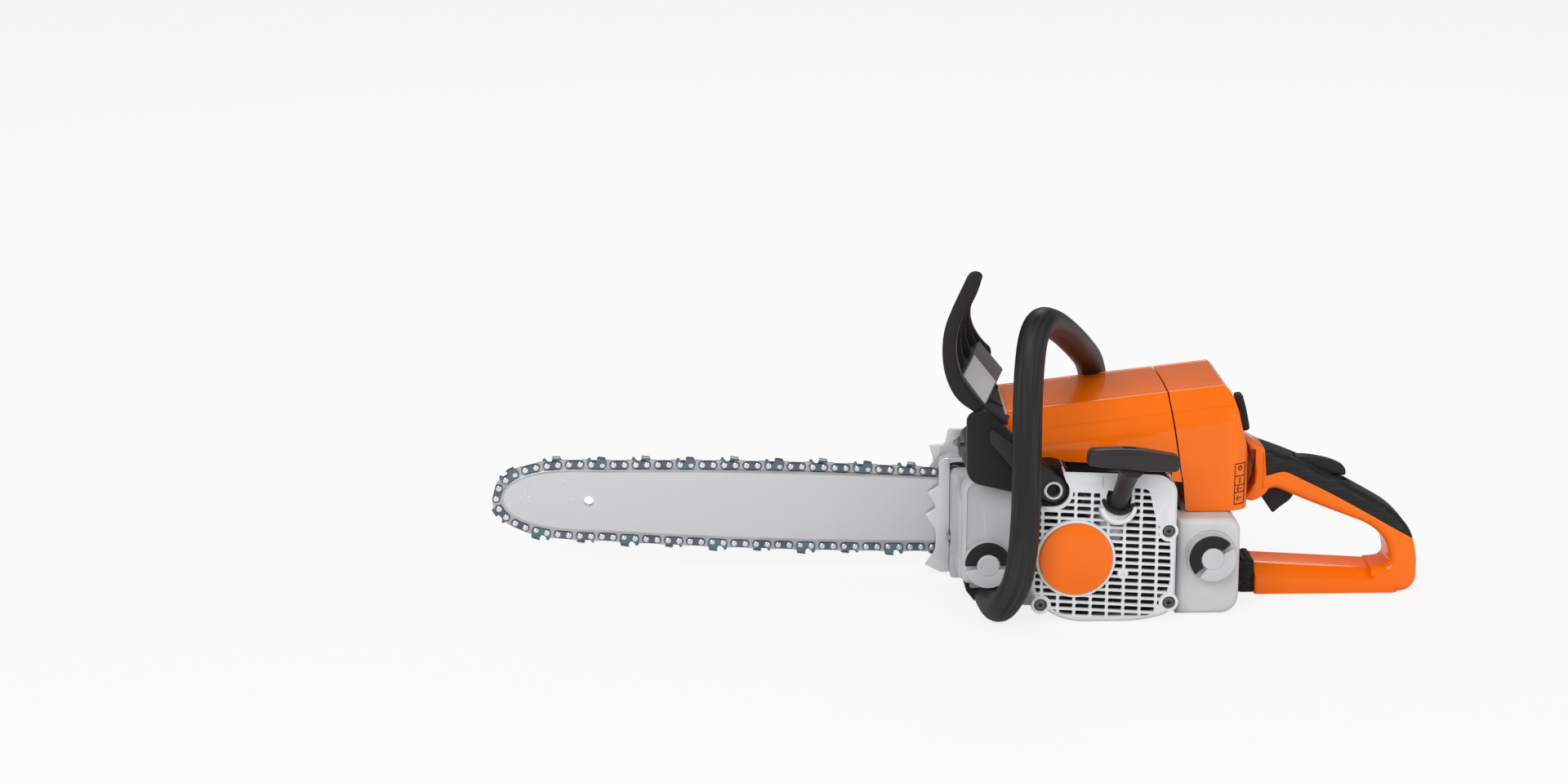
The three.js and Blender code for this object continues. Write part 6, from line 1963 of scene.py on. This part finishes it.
@dataclass
class Intake:
    """The carburettor and the pleated air filter under the rear cover."""

    left: float = -23.6
    right: float = 17.6
    throat: Point2 = (-3.0, 104.0)

    def build_carburetor(self) -> None:
        """Build the carburettor's body, pump cover, throat, fuel nipple and screws."""
        body = Shape.box((84, 102), (self.left + 4, self.right - 5), (91, 116.4), 1.6)
        plates = [Shape.box((82.2, 85), (self.left + 1, self.right - 1), (89, 117.6), 1),
                  Shape.box((85.6, 101), (self.left, self.left + 5), (93, 113), 1.4),
                  Shape.box((86, 101), (-14, 8), (88, 93), 1.2)]
        throat = Shape.lathe([(0, 0), (9.4, 0), (9.4, 17.6), (10.6, 18.4), (10.6, 21.4), (0, 21.4)],
                             (82.4, *self.throat), (1, 0, 0), 44)
        nipple = Shape.lathe([(0, 0), (2.2, 0), (2.2, 3), (3, 3.6), (2, 5.4), (0, 5.4)],
                             (93, self.right - 5.6, 98), (0, 1, 0), 20)
        body.join(*plates, throat, nipple)
        body.cut(Shape.rod((80, *self.throat), (110, *self.throat), 7.4, edge=SQUARE_END))
        body.piece("carburetor_body", Finish.ALLOY, "saw_body", "alloy", ["carburetor"])
        screws = Shape()
        for x in (88.4, 98.4):
            for z in (96, 110):
                screws.add(Shape.rod((x, self.left - 0.2, z), (x, self.left + 2, z), 1.7, sides=16, edge=0.3))
        screws.piece("carburetor_screws", Finish.STEEL, "saw_body", "steel")
        plate = Shape.slab(rectangle(98, 111, 2, 5), -3.4, -2.6).move((-10, 0, 100.6))
        plate.piece("choke_plate", Finish.RIVET, "saw_body", "steel")

    def build_filter(self) -> None:
        """Build the filter: a moulded frame round upright pleats."""
        holder = Shape.box((82.4, 109.6), (-35.6, 29.6), (118.6, 123.4), 1.6)
        holder.join(Shape.box((83, 109), (-35, 29), (138.6, 142.6), 1.8))
        holder.piece("filter_frame", Finish.BLACK, "saw_body", "filter_felt", ["air_filter"])
        pleats = Shape.box((86, 106), (-32, 26), (121, 140))
        count = 18
        for index in range(count):
            y = -33.4 + index * (60.8 / (count - 1))
            pleats.add(Shape.slab(rectangle(84.2, 107.8, y - 1.1, y + 1.1, 1),
                                  123, 139, plane=Plane.XY, arc=3))
        pleats.piece("filter_pleats", Finish.FELT, "saw_body", "filter_felt")

    def build(self) -> None:
        """Build both."""
        self.build_carburetor()
        self.build_filter()


class Interior:
    """The working parts inside, which keep the frame's own shapes and get their finishes here."""

    FINISHES = {
        Finish.ALLOY: ("cylinder", "piston", "flywheel", "oil_pump"),
        Finish.STEEL: ("crankshaft", "crank_bearing_left", "crank_bearing_right", "clutch_drum", "brake_band",
                       "recoil_spring", "tensioner_screw", "tensioner_slider", "bar_stud_front",
                       "bar_stud_rear", "spark_plug", "chain_catcher"),
        Finish.DARK_STEEL: ("clutch_hub", "clutch_shoe_1", "clutch_shoe_2", "clutch_shoe_3"),
        Finish.BLACK: ("ignition_module", "starter_pulley"),
        Finish.RUBBER: ("ignition_lead", "intake_boot"),
        Finish.ROPE: ("starter_rope_coil",),
    }

    def build(self) -> None:
        """Dress every node that still shows."""
        for finish, names in self.FINISHES.items():
            for name in names:
                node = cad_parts[name]
                node.data.materials.clear()
                node.data.materials.append(finish.material())
                LOG.info("%s: dressed as %s", name, finish.value.name)


PARTS = (Housing, FillerCaps, TopCovers, StarterSide, CuttingGear, FrontHandle, HandGuard, RearHandle,
         Muffler, Intake, Interior)


# ---- stage


@dataclass
class Stage:
    """The pale floor, the soft lights and the camera."""

    camera_place: Point = (-0.28371, -2.36589, 0.71579)
    azimuth: float = -2.0
    elevation: float = 13.5
    lens: float = 78.09
    floor_shade: float = 0.80
    floor_white: float = 0.84
    world_level: float = 0.56
    mirror_dimming: float = -0.36
    lamp_target: Point = (-0.08, 0.0, 0.1)
    lamps: tuple[tuple[str, Point, float, float], ...] = (
        ("key", (-1.0, -2.1, 1.5), 1.3, 31),
        ("fill", (1.7, -1.8, 1.0), 1.6, 15),
        ("back", (0.3, 1.7, 1.9), 0.9, 12))

    def camera(self) -> None:
        """Set the camera up at the viewing angle."""
        made = bpy.data.objects.new("camera", bpy.data.cameras.new("camera"))
        made.data.lens = self.lens
        made.data.sensor_width = 36
        made.location = self.camera_place
        made.rotation_euler = (math.radians(90 - self.elevation), 0, math.radians(self.azimuth))
        bpy.context.scene.collection.objects.link(made)
        bpy.context.scene.camera = made

    def white_when_seen(self, graph: Graph, shader: Sock, strength: float) -> Sock:
        """Give a shader that is mixed with plain white where the camera sees it directly.

        Args:
            graph: The material's graph.
            shader: The shader that the light falls on.
            strength: How white it is where the camera sees it, against the lit shader.

        Returns:
            The mixed shader.
        """
        path = graph.tree.nodes.new("ShaderNodeLightPath")
        seen = Sock(graph, path.outputs["Is Camera Ray"]) * strength
        glow = graph.node("ShaderNodeEmission", {}, {"Color": (1, 1, 1), "Strength": 1.0})
        return graph.node("ShaderNodeMixShader", {}, {0: seen, 1: shader, 2: glow})

    def floor(self) -> None:
        """Lay the floor, mostly white to the camera but keeping the saw's shadow."""
        shape = Shape()
        bmesh.ops.create_grid(shape.mesh, x_segments=8, y_segments=8, size=9000)
        shape.move((0, 0, -0.6))
        bmesh.ops.scale(shape.mesh, vec=(MM, MM, MM), verts=shape.mesh.verts)
        made = link_object("floor", shape.mesh)
        material = bpy.data.materials.new("pale_floor")
        material.use_nodes = True
        graph = Graph(material.node_tree)
        shade = graph.node("ShaderNodeBsdfDiffuse", {}, {"Color": (self.floor_shade,) * 3})
        mixed = self.white_when_seen(graph, shade, self.floor_white)
        graph.node("ShaderNodeOutputMaterial", {}, {"Surface": mixed})
        made.data.materials.append(material)

    def world(self) -> None:
        """Light everything softly from all sides, on a white background that reflections see dimmer."""
        world = bpy.data.worlds.new("soft_world")
        bpy.context.scene.world = world
        world.use_nodes = True
        graph = Graph(world.node_tree)
        path = graph.tree.nodes.new("ShaderNodeLightPath")
        camera, through, mirror = (Sock(graph, path.outputs[f"Is {ray} Ray"])
                                   for ray in ("Camera", "Transmission", "Glossy"))
        seen = camera.math("MAXIMUM", through)
        level = mirror * self.mirror_dimming + self.world_level
        light = graph.node("ShaderNodeBackground", {}, {"Color": (1, 1, 1), "Strength": level})
        white = graph.node("ShaderNodeBackground", {}, {"Color": (1, 1, 1), "Strength": 1.0})
        mixed = graph.node("ShaderNodeMixShader", {}, {0: seen, 1: light, 2: white})
        graph.node("ShaderNodeOutputWorld", {}, {"Surface": mixed})

    def lamp(self, name: str, place: Point, size: float, power: float) -> None:
        """Hang a square soft lamp that faces the saw.

        Args:
            name: The lamp's name.
            place: Where it hangs, in metres.
            size: Its width in metres.
            power: Its power in watts.
        """
        data = bpy.data.lights.new(name, "AREA")
        data.energy = power
        data.size = size
        made = bpy.data.objects.new(name, data)
        made.location = place
        made.rotation_euler = (Vector(place) - Vector(self.lamp_target)).to_track_quat("Z", "Y").to_euler()
        bpy.context.scene.collection.objects.link(made)

    def build(self) -> None:
        """Set the whole stage up."""
        bpy.context.scene.view_settings.view_transform = "Standard"
        self.camera()
        self.floor()
        self.world()
        for lamp in self.lamps:
            self.lamp(*lamp)


def main() -> None:
    """Build the whole saw around its frame."""
    logging.basicConfig(level=logging.INFO, format="%(name)s: %(message)s")
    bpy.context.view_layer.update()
    Stage().build()
    for part in PARTS:
        part().build()


if __name__ == "__main__":
    main()
